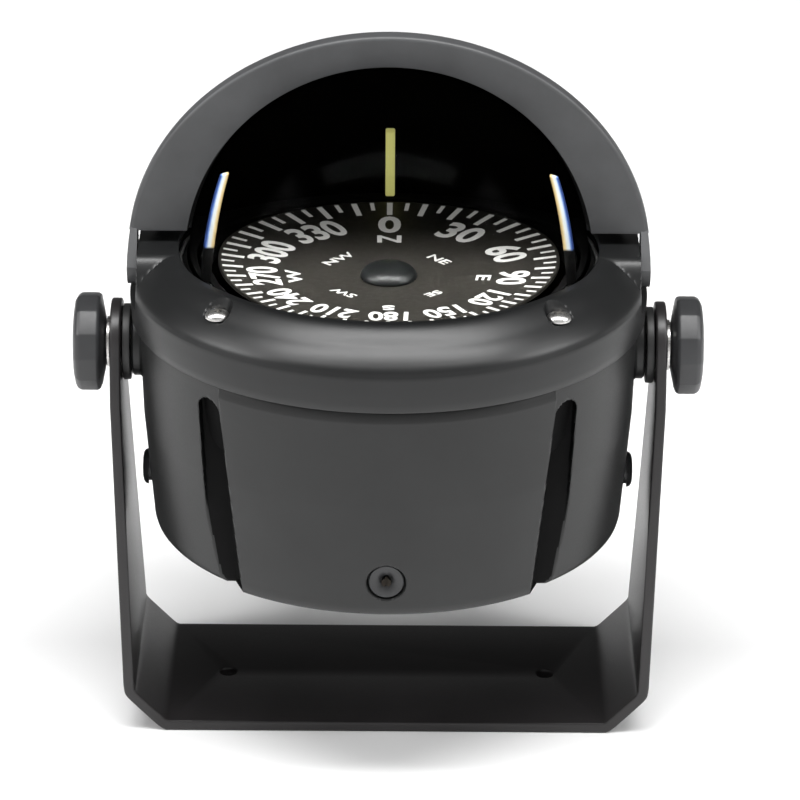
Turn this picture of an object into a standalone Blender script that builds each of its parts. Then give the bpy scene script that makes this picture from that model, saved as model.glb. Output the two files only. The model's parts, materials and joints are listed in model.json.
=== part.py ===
"""A binnacle compass on a U bracket: a liquid-filled dome compass in a tilting housing, with a sun shield.

Row frame: metres, +Z up, the origin at the middle of the bracket's underside. The viewer reads the card
from the front, at -Y, and +X is the viewer's right. Clearances between neighbouring pieces are GAP.
"""

import math

import bmesh
import bpy
from mathutils import Matrix, Vector

GAP = 0.0003

# Bracket: one U-shaped plate with splayed legs and round ears.
BRACKET_DEPTH = 0.060
PLATE = 0.003
BASE_HALF_WIDTH = 0.0728
EAR_OUTER_X = 0.0760
EAR_RADIUS = 0.0120
EAR_FLAT_FROM_Z = 0.0920
MOUNT_HOLE_X = 0.045
MOUNT_HOLE_RADIUS = 0.0024

# Tilt pivot, its knobs and washers.
PIVOT_Z = 0.105
STUD_RADIUS = 0.0030
BOSS_RADIUS = 0.0093
BOSS_FACE_X = 0.0703
FRICTION_WASHER = (0.0706, 0.0727, 0.0105)
CLAMP_WASHER = (0.0763, 0.0772, 0.0070)
KNOB_BACK_X = 0.0775
KNOB_RADIUS = 0.0136
KNOB_LENGTH = 0.0089
KNOB_SIDES = 12

# Housing: a turned, slightly tapered shell.
NECK_RADIUS = 0.0672
NECK_TOP_Z = 0.1264
NECK_BORE = 0.0553
SHOULDER = (0.0683, 0.1146)
WAIST = (0.0674, 0.0870)
FOOT = (0.0650, 0.0580)
BOTTOM_Z = 0.0550
PANEL_PROUD = 0.0012
PANEL_TOP_HALF_X = 0.0446
PANEL_FOOT_HALF_X = 0.0383
GROOVE_TOP_Z = 0.1094
GROOVE_FOOT_Z = 0.0610

# Bezel: a turned ring with a rounded crown.
BEZEL_INNER = 0.0572
BEZEL_TOP_Z = 0.1344
BEZEL_OUTER = 0.0706
SKIRT_FOOT_Z = 0.1150
SCREW_CIRCLE = 0.0635
SCREW_HEAD_RADIUS = 0.00325
LEDGE_FACE_X = 0.0682

# Dome and bowl: two halves of one sphere, clamped between the bezel and the housing's neck.
SPHERE_Z = 0.1296
DOME_OUTER = 0.0545
CHAMBER = 0.0525
BOWL_OUTER = 0.0541
FLANGE_RADIUS = 0.0590
DOME_FLANGE = (0.1295, 0.1316)
BOWL_FLANGE = (0.1267, 0.1292)
BOWL_MOUTH = 0.0172
BOWL_NECK = 0.0240
BOWL_NECK_Z = 0.0775

# Sun shield: a broad flat rim that turns about the sphere's centre, with a thin shell behind it.
SHIELD_HALF_WIDTH = 0.0713
SHIELD_HEIGHT = 0.0641
SHIELD_INNER = 0.0552
SHIELD_SHELL = 0.0580
SHIELD_FACE_FOOT = 0.0082
SHIELD_REAR_FOOT = 0.0051
CHEEK_INNER_X = 0.0685
LUG_RADIUS = 0.0068
SHIELD_PIN_RADIUS = 0.0020

# Gimbals and card.
GIMBAL_Z = 0.1230
RING_OUTER = 0.0393
RING_INNER = 0.0369
FRAME_OUTER = 0.0363
FRAME_INNER = 0.0343
GIMBAL_PIN_RADIUS = 0.0010
STRAP_Z = 0.1080
LUBBER_FOOT_Z = 0.1246
MAIN_LUBBER = (0.0374, 0.0386, 0.00070, 0.1365)
SIDE_LUBBER = (0.0368, 0.0390, 0.00065, 0.1515)
CARD_RADIUS = 0.0330
CARD_Z = (0.1252, 0.1260)
HUB_RADIUS = 0.0062

# Compensator shafts, crossing under the bowl.
SHAFT_RADIUS = 0.0013
FORE_AFT_Z = 0.0643
ATHWART_Z = 0.0673

# Colour (linear), roughness and metallic value of each finish.
FINISHES = {
    "housing_plastic": ((0.030, 0.031, 0.032), 0.42, 0.0),
    "bezel_plastic": ((0.026, 0.027, 0.028), 0.36, 0.0),
    "shield_plastic": ((0.040, 0.041, 0.043), 0.45, 0.0),
    "bracket_plastic": ((0.022, 0.021, 0.022), 0.40, 0.0),
    "knob_plastic": ((0.034, 0.035, 0.038), 0.45, 0.0),
    "stainless": ((0.60, 0.60, 0.60), 0.25, 1.0),
    "brass": ((0.62, 0.42, 0.16), 0.30, 1.0),
    "magnet_steel": ((0.25, 0.25, 0.26), 0.35, 1.0),
    "rubber_black": ((0.018, 0.018, 0.018), 0.80, 0.0),
    "nylon_washer": ((0.035, 0.035, 0.035), 0.55, 0.0),
    "clear_acrylic": ((0.95, 0.96, 0.96), 0.03, 0.0),
    "bowl_plastic": ((0.012, 0.012, 0.013), 0.40, 0.0),
    "gimbal_plastic": ((0.015, 0.015, 0.016), 0.45, 0.0),
    "card_black": ((0.018, 0.014, 0.012), 0.50, 0.0),
    "hub_black": ((0.010, 0.010, 0.010), 0.30, 0.0),
    "lubber_yellow": ((0.80, 0.78, 0.26), 0.45, 0.0),
    "lubber_white": ((0.85, 0.87, 0.88), 0.45, 0.0),
    "jewel_ruby": ((0.50, 0.03, 0.06), 0.10, 0.0),
    "circuit_board": ((0.02, 0.12, 0.05), 0.50, 0.0),
    "lens_red": ((0.70, 0.06, 0.04), 0.08, 0.0),
}

for leftover in list(bpy.data.objects):
    bpy.data.objects.remove(leftover, do_unlink=True)

PARTS = bpy.data.collections.new("binnacle_compass")
CUTTERS = bpy.data.collections.new("cutters")
for made in (PARTS, CUTTERS):
    bpy.context.scene.collection.children.link(made)


def finish(name):
    """The Principled material of this name, made once."""
    material = bpy.data.materials.get(name)
    if material:
        return material
    colour, roughness, metallic = FINISHES[name]
    material = bpy.data.materials.new(name)
    material.use_nodes = True
    shader = material.node_tree.nodes["Principled BSDF"]
    shader.inputs["Base Color"].default_value = (*colour, 1.0)
    shader.inputs["Roughness"].default_value = roughness
    shader.inputs["Metallic"].default_value = metallic
    return material


def place(name, mesh, look, at=(0, 0, 0), turn=(0, 0, 0)):
    """An object at a location and rotation; without a look it is a cutter or a shape to be joined."""
    obj = bpy.data.objects.new(name, mesh)
    obj.location = at
    obj.rotation_euler = turn
    if look:
        mesh.materials.append(finish(look))
        PARTS.objects.link(obj)
    else:
        obj.display_type = "WIRE"
        obj.hide_render = True
        CUTTERS.objects.link(obj)
    return obj


def turned(name, look, profile, steps, at=(0, 0, 0), turn=(0, 0, 0)):
    """A profile of (radius, height) points turned about Z, down its outer side and up its inner one."""
    mesh = bpy.data.meshes.new(name)
    edges = [(i, i + 1) for i in range(len(profile) - 1)]
    if profile[0][0] > 0 and profile[-1][0] > 0:
        edges.append((len(profile) - 1, 0))
    mesh.from_pydata([(r, 0, h) for r, h in profile], edges, [])
    obj = place(name, mesh, look, at, turn)
    screw = obj.modifiers.new("turn", "SCREW")
    screw.steps = screw.render_steps = steps
    screw.use_merge_vertices = True
    screw.merge_threshold = 0.00001
    return obj


def disc(name, look, radius, low, high, steps, bore=0.0, at=(0, 0, 0), turn=(0, 0, 0)):
    """A plain cylinder, or a ring when it has a bore, between two heights on its own axis."""
    if bore:
        profile = [(radius, high), (radius, low), (bore, low), (bore, high)]
    else:
        profile = [(0, high), (radius, high), (radius, low), (0, low)]
    return turned(name, look, profile, steps, at, turn)


def block(name, look, low, high):
    """A box between two corners."""
    low, high = Vector(low), Vector(high)
    mesh = bpy.data.meshes.new(name)
    bm = bmesh.new()
    bmesh.ops.create_cube(bm, size=1.0)
    bmesh.ops.scale(bm, vec=high - low, verts=bm.verts)
    bm.to_mesh(mesh)
    bm.free()
    return place(name, mesh, look, (low + high) / 2)


def prism(name, look, outline, low, high, plane="XY", at=(0, 0, 0)):
    """A flat outline extruded from low to high. In plane XZ it runs along Y, and in plane YZ along X."""
    curve = bpy.data.curves.new(name, "CURVE")
    curve.dimensions = "2D"
    curve.fill_mode = "BOTH"
    curve.extrude = (high - low) / 2
    spline = curve.splines.new("POLY")
    spline.points.add(len(outline) - 1)
    for point, (u, v) in zip(spline.points, outline):
        point.co = (u, v, 0, 1)
    spline.use_cyclic_u = True
    flat = bpy.data.objects.new(name, curve)
    CUTTERS.objects.link(flat)
    graph = bpy.context.evaluated_depsgraph_get()
    mesh = bpy.data.meshes.new_from_object(flat.evaluated_get(graph))
    bpy.data.objects.remove(flat)
    middle = (low + high) / 2
    stand = {
        "XY": Matrix(((1, 0, 0, 0), (0, 1, 0, 0), (0, 0, 1, middle), (0, 0, 0, 1))),
        "XZ": Matrix(((1, 0, 0, 0), (0, 0, -1, middle), (0, 1, 0, 0), (0, 0, 0, 1))),
        "YZ": Matrix(((0, 0, 1, middle), (1, 0, 0, 0), (0, 1, 0, 0), (0, 0, 0, 1))),
    }[plane]
    bm = bmesh.new()
    bm.from_mesh(mesh)
    bmesh.ops.remove_doubles(bm, verts=bm.verts, dist=0.000001)
    bmesh.ops.transform(bm, matrix=stand, verts=bm.verts)
    bmesh.ops.recalc_face_normals(bm, faces=bm.faces)
    bm.to_mesh(mesh)
    bm.free()
    return place(name, mesh, look, at)


def arc(radius, start, end, count, centre=(0, 0)):
    """Points on a circle from one angle to another, in degrees."""
    angles = [math.radians(start + (end - start) * i / count) for i in range(count + 1)]
    return [(centre[0] + radius * math.cos(a), centre[1] + radius * math.sin(a)) for a in angles]


def sphere_arc(radius, start, end, count):
    """A turned profile's points on the sphere about SPHERE_Z, between two elevations in degrees."""
    points = arc(radius, start, end, count, (0, SPHERE_Z))
    return [(0 if abs(r) < 1e-7 else r, h) for r, h in points]


def boolean(obj, operation, *others):
    """Joins the others to the object, or cuts it by them. The shallow cuts of BUSY pieces need MANIFOLD."""
    for other in others:
        step = obj.modifiers.new(f"{operation.lower()} {other.name}", "BOOLEAN")
        step.operation = operation
        step.solver = "MANIFOLD" if obj.name in BUSY else "EXACT"
        step.object = other
    return obj


def cross_hole(name, radius, low, high, at, steps=16):
    """A cutter along X, from low to high."""
    return disc(name, None, radius, low, high, steps, at=at, turn=(0, math.pi / 2, 0))


SIDES = (("left", -1), ("right", 1))
OUTWARD = {-1: (0, -math.pi / 2, 0), 1: (0, math.pi / 2, 0)}
BUSY = ("housing_shell", "bezel")
FORWARD = (math.pi / 2, 0, 0)
REARWARD = (-math.pi / 2, 0, 0)


def bracket():
    """The U plate: its bent section along Y, trimmed to the legs' side outline."""
    outer = [(0.0613, 0), (0.0629, 0.0007), (0.0721, 0.0102), (BASE_HALF_WIDTH, 0.0120)]
    outer += [(EAR_OUTER_X, EAR_FLAT_FROM_Z), (EAR_OUTER_X, 0.120)]
    inner = [(EAR_OUTER_X - PLATE, 0.120), (EAR_OUTER_X - PLATE, EAR_FLAT_FROM_Z), (0.06985, 0.0128)]
    inner += [(0.06935, 0.0117), (0.0613, 0.0034), (0.0602, PLATE)]
    half = outer + inner
    section = half + [(-x, z) for x, z in reversed(half)]
    plate = prism("bracket", "bracket_plastic", section, -BRACKET_DEPTH / 2, BRACKET_DEPTH / 2, "XZ")
    side = [(0.030, -0.005), (0.030, 0.014)] + arc(EAR_RADIUS, 11, 169, 12, (0, PIVOT_Z))
    side += [(-0.030, 0.014), (-0.030, -0.005)]
    boolean(plate, "INTERSECT", prism("leg_outline", None, side, -0.1, 0.1, "YZ"))
    for name, side_sign in SIDES:
        hole_at = (side_sign * MOUNT_HOLE_X, 0, 0)
        hole = disc(f"mount_hole_{name}", None, MOUNT_HOLE_RADIUS, -0.01, 0.02, 16, at=hole_at)
        ear = cross_hole(f"ear_hole_{name}", STUD_RADIUS + 0.0005, 0.06, 0.09, (0, 0, PIVOT_Z))
        ear.rotation_euler = OUTWARD[side_sign]
        boolean(plate, "DIFFERENCE", hole, ear)
    return plate


def pivot_hardware():
    """Washers, knobs, studs and threaded inserts on both sides of the tilt axis."""
    for name, side_sign in SIDES:
        turn = OUTWARD[side_sign]
        at = (0, 0, PIVOT_Z)
        low, high, radius = FRICTION_WASHER
        disc(f"friction_washer_{name}", "nylon_washer", radius, low, high, 20, 0.0035, at, turn)
        low, high, radius = CLAMP_WASHER
        disc(f"clamp_washer_{name}", "stainless", radius, low, high, 16, 0.0035, at, turn)
        top = KNOB_LENGTH
        profile = [(0, top), (0.0090, top - 0.0002), (0.0122, top - 0.0007), (0.0132, top - 0.0014)]
        profile += [(KNOB_RADIUS, top - 0.0024), (KNOB_RADIUS, 0.0021), (0.0130, 0.0013), (0.0065, 0)]
        profile += [(STUD_RADIUS + 2 * GAP, 0), (STUD_RADIUS + 2 * GAP, 0.0065), (0, 0.0065)]
        back = (side_sign * KNOB_BACK_X, 0, PIVOT_Z)
        turned(f"knob_{name}", "knob_plastic", profile, KNOB_SIDES, back, turn)
        disc(f"stud_{name}", "stainless", STUD_RADIUS, 0.0625, 0.0836, 12, at=at, turn=turn)
        disc(f"boss_insert_{name}", "brass", 0.0052, 0.0600, 0.0699, 12, STUD_RADIUS + GAP, at, turn)


def front_window(name, top_half, foot_half, high_z, low_z):
    """A trapezium seen from the front, running through the front half of the housing."""
    outline = [(top_half, high_z), (-top_half, high_z), (-foot_half, low_z), (foot_half, low_z)]
    return prism(name, None, outline, -0.09, -0.01, "XZ")


def groove_cutter(name, side_sign):
    """The tapered slot beside the front panel: deepest at its rounded top, running out at its foot."""
    top = [(0.0454, 0.1070), (0.0462, 0.1087), (0.0476, GROOVE_TOP_Z), (0.0490, 0.1087), (0.0499, 0.1068)]
    outline = top + [(0.0470, GROOVE_FOOT_Z), (0.0392, GROOVE_FOOT_Z)]
    outline = [(side_sign * x, z) for x, z in outline]
    cutter = prism(name, None, outline, -0.085, -0.040, "XZ")
    for vertex in cutter.data.vertices:
        if vertex.co.y > -0.06:
            share = (vertex.co.z - GROOVE_FOOT_Z) / (GROOVE_TOP_Z - GROOVE_FOOT_Z)
            vertex.co.y = -0.0492 + 0.0062 * share
    return cutter


def housing():
    """The tapered shell, its raised front panel, side grooves, pivot bosses and holes."""
    outline = [(NECK_RADIUS, NECK_TOP_Z), (NECK_RADIUS, 0.1147), SHOULDER, WAIST, FOOT, (0.0645, 0.0558)]
    outline += [(0.0637, BOTTOM_Z), (0.0603, BOTTOM_Z), (0.0603, 0.0579), (0.0520, 0.0579), (0.0520, 0.0601)]
    outline += [(0.0616, 0.0604), (0.0645, 0.0870), (0.0649, 0.1120)]
    outline += [(NECK_BORE, 0.1185), (NECK_BORE, NECK_TOP_Z)]
    shell = turned("housing_shell", "housing_plastic", outline, 48)
    proud = [(r + PANEL_PROUD, z) for r, z in ((SHOULDER[0] - 0.0002, 0.1138), WAIST, FOOT)]
    proud += [(0.0655, 0.0550), (0.0648, 0.0543), (0.0634, 0.0543)]
    proud += [(0.0636, 0.0580), (0.0660, 0.0870), (0.0670, 0.1133)]
    panel = turned("front_panel", None, proud, 48)
    window = front_window("panel_window", PANEL_TOP_HALF_X, PANEL_FOOT_HALF_X, 0.1142, 0.0540)
    boolean(panel, "INTERSECT", window)
    boolean(shell, "UNION", panel)
    for name, side_sign in SIDES:
        ring = [(0.0662, 0.1125), (0.0636, 0.0620), (0.0585, 0.0620), (0.0585, 0.1125)]
        backing = turned(f"groove_backing_{name}", None, ring, 32)
        inner, outer = side_sign * 0.0375, side_sign * 0.0535
        corners = [(inner, -0.070), (inner, -0.030), (outer, -0.030), (outer, -0.070)]
        window = prism(f"backing_window_{name}", None, corners, 0.050, 0.120)
        boolean(backing, "INTERSECT", window)
        boss = cross_hole(f"pivot_boss_{name}", BOSS_RADIUS, 0.0597, BOSS_FACE_X, (0, 0, PIVOT_Z), 32)
        boss.rotation_euler = OUTWARD[side_sign]
        boolean(shell, "UNION", backing, boss)
    for name, side_sign in SIDES:
        bore = cross_hole(f"insert_bore_{name}", 0.0055, 0.055, 0.075, (0, 0, PIVOT_Z))
        bore.rotation_euler = OUTWARD[side_sign]
        port = cross_hole(f"side_port_{name}", 0.0043, 0.055, 0.075, (0, 0, ATHWART_Z))
        port.rotation_euler = OUTWARD[side_sign]
        boolean(shell, "DIFFERENCE", groove_cutter(f"groove_{name}", side_sign), bore, port)
    front = disc("front_port", None, 0.0040, 0.050, 0.075, 16, at=(0, 0, FORE_AFT_Z), turn=FORWARD)
    dimple = disc("front_dimple", None, 0.0052, 0.0642, 0.075, 24, at=(0, 0, FORE_AFT_Z), turn=FORWARD)
    rear = disc("rear_port", None, 0.0043, 0.050, 0.075, 16, at=(0, 0, FORE_AFT_Z), turn=REARWARD)
    cable = disc("cable_port", None, 0.0040, 0.050, 0.075, 16, at=(0, 0, 0.0850), turn=REARWARD)
    boolean(shell, "DIFFERENCE", front, dimple, rear, cable)
    for index, (x, y) in enumerate(arc(SCREW_CIRCLE, 45, 315, 3)):
        boolean(shell, "DIFFERENCE", disc(f"neck_hole_{index}", None, 0.00155, 0.1175, 0.130, 12, at=(x, y, 0)))
    return shell


def bottom_cover():
    """The disc that closes the housing's foot, with a shallow dished middle."""
    profile = [(0, 0.0576), (0.0600, 0.0576), (0.0600, 0.0552)]
    profile += [(0.0560, 0.0552), (0.0545, 0.0560), (0, 0.0560)]
    turned("bottom_cover", "housing_plastic", profile, 32)


def bezel():
    """The crowned ring with its side ledges, shield notches and sunk screws."""
    crown = [(0.0575, BEZEL_TOP_Z), (0.0600, 0.1341), (0.0625, 0.1331), (0.0647, 0.1317), (0.0668, 0.1301)]
    crown += [(0.0686, 0.1284), (0.0699, 0.1268), (BEZEL_OUTER, 0.1250)]
    crown += [(BEZEL_OUTER, 0.1225), (0.0702, SKIRT_FOOT_Z)]
    under = [(0.0676, SKIRT_FOOT_Z), (0.0676, 0.1267), (0.0593, 0.1267), (0.0593, 0.1329)]
    under += [(BEZEL_INNER, 0.1329), (BEZEL_INNER, 0.1341)]
    ring = turned("bezel", "bezel_plastic", crown + under, 48)
    ledge = [(-0.0145, 0.1275), (-0.0112, 0.1332), (-0.0092, BEZEL_TOP_Z)]
    ledge += [(0.0092, BEZEL_TOP_Z), (0.0112, 0.1332), (0.0145, 0.1275)]
    for name, side_sign in SIDES:
        low, high = sorted((side_sign * 0.0597, side_sign * LEDGE_FACE_X))
        boolean(ring, "UNION", prism(f"ledge_{name}", None, ledge, low, high, "YZ"))
    for name, side_sign in SIDES:
        low, high = sorted((side_sign * LEDGE_FACE_X, side_sign * 0.080))
        notch = block(f"shield_notch_{name}", None, (low, -0.021, 0.1215), (high, 0.021, 0.140))
        pin = cross_hole(f"pin_hole_{name}", SHIELD_PIN_RADIUS + GAP, 0.0625, 0.075, (0, 0, SPHERE_Z))
        pin.rotation_euler = OUTWARD[side_sign]
        relief = cross_hole(f"boss_relief_{name}", BOSS_RADIUS + 0.0006, 0.0600, 0.080, (0, 0, PIVOT_Z), 32)
        relief.rotation_euler = OUTWARD[side_sign]
        boolean(ring, "DIFFERENCE", notch, pin, relief)
        turn = OUTWARD[side_sign]
        at = (0, 0, SPHERE_Z)
        disc(f"shield_pin_{name}", "stainless", SHIELD_PIN_RADIUS, 0.0630, 0.0714, 16, at=at, turn=turn)
    for index, (x, y) in enumerate(arc(SCREW_CIRCLE, 45, 315, 3)):
        sink = disc(f"screw_sink_{index}", None, 0.0037, 0.1309, 0.140, 16, at=(x, y, 0))
        hole = disc(f"screw_hole_{index}", None, 0.00155, 0.120, 0.140, 12, at=(x, y, 0))
        boolean(ring, "DIFFERENCE", sink, hole)
        profile = [(0, 0.1334), (0.0025, 0.1327), (SCREW_HEAD_RADIUS, 0.1319), (SCREW_HEAD_RADIUS, 0.1312)]
        profile += [(0.00125, 0.1312), (0.00125, 0.1180), (0, 0.1180)]
        turned(f"bezel_screw_{index + 1}", "stainless", profile, 12, at=(x, y, 0))
    disc("bezel_gasket", "rubber_black", FLANGE_RADIUS, 0.1319, 0.1326, 32, 0.0578)


def dome_and_bowl():
    """The clear dome, the dark bowl under it, their seal and the expansion diaphragm."""
    low, high = DOME_FLANGE
    profile = sphere_arc(DOME_OUTER, 90, 3.5, 7)
    profile += [(0.0548, high), (FLANGE_RADIUS, high), (FLANGE_RADIUS, low)]
    turned("dome", "clear_acrylic", profile + [(CHAMBER, low)] + sphere_arc(CHAMBER, 7, 90, 6), 32)
    low, high = BOWL_FLANGE
    neck_angle = -math.degrees(math.acos(BOWL_NECK / BOWL_OUTER))
    mouth_angle = -math.degrees(math.acos(BOWL_MOUTH / CHAMBER))
    profile = [(FLANGE_RADIUS, high), (FLANGE_RADIUS, low)] + sphere_arc(BOWL_OUTER, -3.1, neck_angle, 5)
    profile += [(BOWL_NECK, BOWL_NECK_Z), (BOWL_MOUTH, BOWL_NECK_Z)]
    profile += sphere_arc(CHAMBER, mouth_angle, -0.44, 6)
    profile += [(0.0560, high), (0.0560, 0.1278), (0.0578, 0.1278), (0.0578, high)]
    bowl = turned("bowl", "bowl_plastic", profile, 32)
    for name, turn in (("front", FORWARD), ("rear", REARWARD)):
        socket = disc(f"roll_socket_{name}", None, 0.0013, 0.045, 0.0546, 12, at=(0, 0, GIMBAL_Z), turn=turn)
        boolean(bowl, "DIFFERENCE", socket)
    seal = [(0.0569 + r, 0.12875 + h) for r, h in arc(0.00062, 90, -210, 5)]
    turned("dome_o_ring", "rubber_black", seal, 32)
    top = [(0, 0.0772), (0.0090, 0.0772), (0.0120, 0.0756), (0.0150, 0.0772), (0.0236, 0.0772)]
    under = [(0.0236, 0.0764), (0.0154, 0.0764), (0.0120, 0.0746), (0.0086, 0.0764), (0, 0.0764)]
    turned("diaphragm", "rubber_black", top + under, 24)
    disc("diaphragm_retainer", "brass", 0.0236, 0.0749, 0.0761, 24, 0.0170)


def shield_rim(angle):
    """The rim's outline radius at an angle in the face's plane."""
    return 1 / math.hypot(math.cos(angle) / SHIELD_HALF_WIDTH, math.sin(angle) / SHIELD_HEIGHT)


def rim_half_width(height):
    """Half the rim's width at a height above its pivots."""
    return SHIELD_HALF_WIDTH * math.sqrt(1 - (height / SHIELD_HEIGHT) ** 2)


def sun_shield():
    """The flat oval rim lofted into a spherical shell behind the dome, with a pivot cheek at each side."""
    count = 48
    rings = [(0.0, 0.0, None), (0.0, -0.0006, 1), (0.0006, 0.0, 1), (0.0046, 0.0, 1), (0.0060, -0.0013, 1)]
    shell_angles = [14 + (90 - 14) * i / 6 for i in range(6)]
    inner_angles = [90 * i / 7 for i in range(1, 7)]
    bm = bmesh.new()

    def ring_of(radius, depth):
        made = []
        for i in range(count):
            angle = 2 * math.pi * i / count
            reach = radius(angle)
            made.append(bm.verts.new((reach * math.cos(angle), depth, reach * math.sin(angle))))
        return made

    loops = []
    for depth, inset, on_rim in rings:
        if on_rim:
            loops.append(ring_of(lambda a, inset=inset: shield_rim(a) + inset, depth))
        else:
            loops.append(ring_of(lambda a: SHIELD_INNER, depth))
    for degrees in shell_angles:
        reach = SHIELD_SHELL * math.cos(math.radians(degrees))
        loops.append(ring_of(lambda a, reach=reach: reach, SHIELD_SHELL * math.sin(math.radians(degrees))))
    inner = []
    for degrees in inner_angles:
        reach = SHIELD_INNER * math.cos(math.radians(degrees))
        inner.append(ring_of(lambda a, reach=reach: reach, SHIELD_INNER * math.sin(math.radians(degrees))))
    rear_pole = bm.verts.new((0, SHIELD_SHELL, 0))
    inner_pole = bm.verts.new((0, SHIELD_INNER, 0))
    for first, second in list(zip(loops, loops[1:])) + list(zip(inner, inner[1:])) + [(loops[0], inner[0])]:
        for i in range(count):
            j = (i + 1) % count
            bm.faces.new((first[i], first[j], second[j], second[i]))
    for last, pole in ((loops[-1], rear_pole), (inner[-1], inner_pole)):
        for i in range(count):
            bm.faces.new((last[i], last[(i + 1) % count], pole))
    bmesh.ops.recalc_face_normals(bm, faces=bm.faces)
    mesh = bpy.data.meshes.new("sun_shield")
    bm.to_mesh(mesh)
    bm.free()
    centre = (0, 0, SPHERE_Z)
    shield = place("sun_shield", mesh, "shield_plastic", centre)
    foot = [(-0.010, SHIELD_FACE_FOOT), (0.0080, SHIELD_FACE_FOOT), (0.0100, SHIELD_REAR_FOOT)]
    foot += [(0.080, SHIELD_REAR_FOOT), (0.080, -0.090), (-0.010, -0.090)]
    boolean(shield, "DIFFERENCE", prism("shield_foot", None, foot, -0.1, 0.1, "YZ", centre))
    for name, side_sign in SIDES:
        edge = [(rim_half_width(h) - 0.0002, h) for h in (0.0, 0.004, 0.008, 0.012)]
        front = [(CHEEK_INNER_X, -0.008), (SHIELD_HALF_WIDTH - 0.0002, -0.008)] + edge
        front = [(side_sign * x, z) for x, z in front + [(CHEEK_INNER_X, 0.012)]]
        cheek = prism(f"cheek_{name}", None, front, -0.009, 0.009, "XZ", centre)
        lug = arc(LUG_RADIUS, 180, 360, 12) + [(0.0056, 0.0125), (0.0003, 0.0125), (0.0003, 0.0092)]
        boolean(cheek, "INTERSECT", prism(f"lug_{name}", None, lug, -0.08, 0.08, "YZ", centre))
        boolean(shield, "UNION", cheek)
    for name, side_sign in SIDES:
        hole = cross_hole(f"lug_hole_{name}", SHIELD_PIN_RADIUS + GAP, 0.066, 0.075, centre)
        hole.rotation_euler = OUTWARD[side_sign]
        boolean(shield, "DIFFERENCE", hole)


def lubber(name, look, size, azimuth):
    """A thin upright post that stands on the gimbal ring beside the card."""
    inner, outer, half_width, top = size
    foot = [(inner, -half_width), (outer, -half_width), (outer, half_width), (inner, half_width)]
    post = prism(name, look, foot, LUBBER_FOOT_Z, top)
    post.rotation_euler = (0, 0, azimuth)
    return post


def gimbals():
    """The outer ring with its lubber posts, and the inner frame with its weight and pivot."""
    axis_at = (0, 0, GIMBAL_Z)
    ring = disc("gimbal_ring", "gimbal_plastic", RING_OUTER, -0.0014, 0.0014, 40, RING_INNER, axis_at)
    for name, side_sign in SIDES:
        turn = OUTWARD[side_sign]
        socket = disc(f"pitch_socket_{name}", None, 0.0011, 0.030, 0.050, 12, at=axis_at, turn=turn)
        boolean(ring, "DIFFERENCE", socket)
    for name, turn in (("front", FORWARD), ("rear", REARWARD)):
        bore = disc(f"roll_bore_{name}", None, 0.0012, 0.030, 0.050, 12, at=axis_at, turn=turn)
        boolean(ring, "DIFFERENCE", bore)
        radius = GIMBAL_PIN_RADIUS
        disc(f"roll_pin_{name}", "gimbal_plastic", radius, 0.0373, 0.0542, 12, at=axis_at, turn=turn)
    lubber("lubber_main", "lubber_yellow", MAIN_LUBBER, math.pi / 2)
    lubber("lubber_left", "lubber_white", SIDE_LUBBER, math.pi)
    lubber("lubber_right", "lubber_white", SIDE_LUBBER, 0)
    frame = disc("gimbal_frame", "gimbal_plastic", FRAME_OUTER, -0.0012, 0.0012, 32, FRAME_INNER, axis_at)
    reach = FRAME_OUTER - 0.0003
    strap = block("frame_strap", None, (-reach, -0.0025, STRAP_Z), (reach, 0.0025, STRAP_Z + 0.0018))
    low, high = STRAP_Z + 0.0002, GIMBAL_Z
    inner, outer = FRAME_INNER + 0.0002, FRAME_OUTER - 0.0004
    stay_right = block("frame_stay_right", None, (inner, -0.00245, low), (outer, 0.00245, high))
    stay_left = block("frame_stay_left", None, (-outer, -0.00245, low), (-inner, 0.00245, high))
    boolean(frame, "UNION", strap, stay_right, stay_left)
    for name, side_sign in SIDES:
        turn = OUTWARD[side_sign]
        bore = disc(f"pitch_bore_{name}", None, 0.0011, 0.031, 0.040, 12, at=axis_at, turn=turn)
        boolean(frame, "DIFFERENCE", bore)
        radius = GIMBAL_PIN_RADIUS - 0.0001
        disc(f"pitch_pin_{name}", "stainless", radius, 0.0346, 0.0388, 12, at=axis_at, turn=turn)
    boolean(frame, "DIFFERENCE", disc("post_bore", None, 0.0018, 0.096, 0.116, 16))
    weight = [(0.0018, 0.1077), (0.0120, 0.1077), (0.0120, 0.1015), (0.0100, 0.1000), (0.0018, 0.1000)]
    turned("counterweight", "brass", weight, 20)
    needle = [(0, 0.1238), (0.0002, 0.1236), (0.0009, 0.1215)]
    needle += [(0.0015, 0.1195), (0.0015, 0.1005), (0, 0.1005)]
    turned("pivot_post", "stainless", needle, 16)


def card():
    """The card, its hub cap, the jewel that rides on the needle, and two bar magnets."""
    low, high = CARD_Z
    disc("compass_card", "card_black", CARD_RADIUS, low, high, 48, 0.0053)
    cap = [(0, 0.1290), (0.0028, 0.1288), (0.0048, 0.1280), (0.0059, 0.1270), (HUB_RADIUS, 0.1263)]
    cap += [(0.0050, 0.1263), (0.0050, 0.1223), (0.0022, 0.1223), (0.0022, 0.1256), (0, 0.1256)]
    turned("card_hub", "hub_black", cap, 20)
    disc("jewel_cup", "jewel_ruby", 0.0019, 0.1241, 0.1253, 16)
    for name, side_sign in SIDES:
        middle = side_sign * 0.011
        low, high = (middle - 0.002, -0.018, 0.1218), (middle + 0.002, 0.018, 0.1249)
        block(f"card_magnet_{name}", "magnet_steel", low, high)


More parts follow.
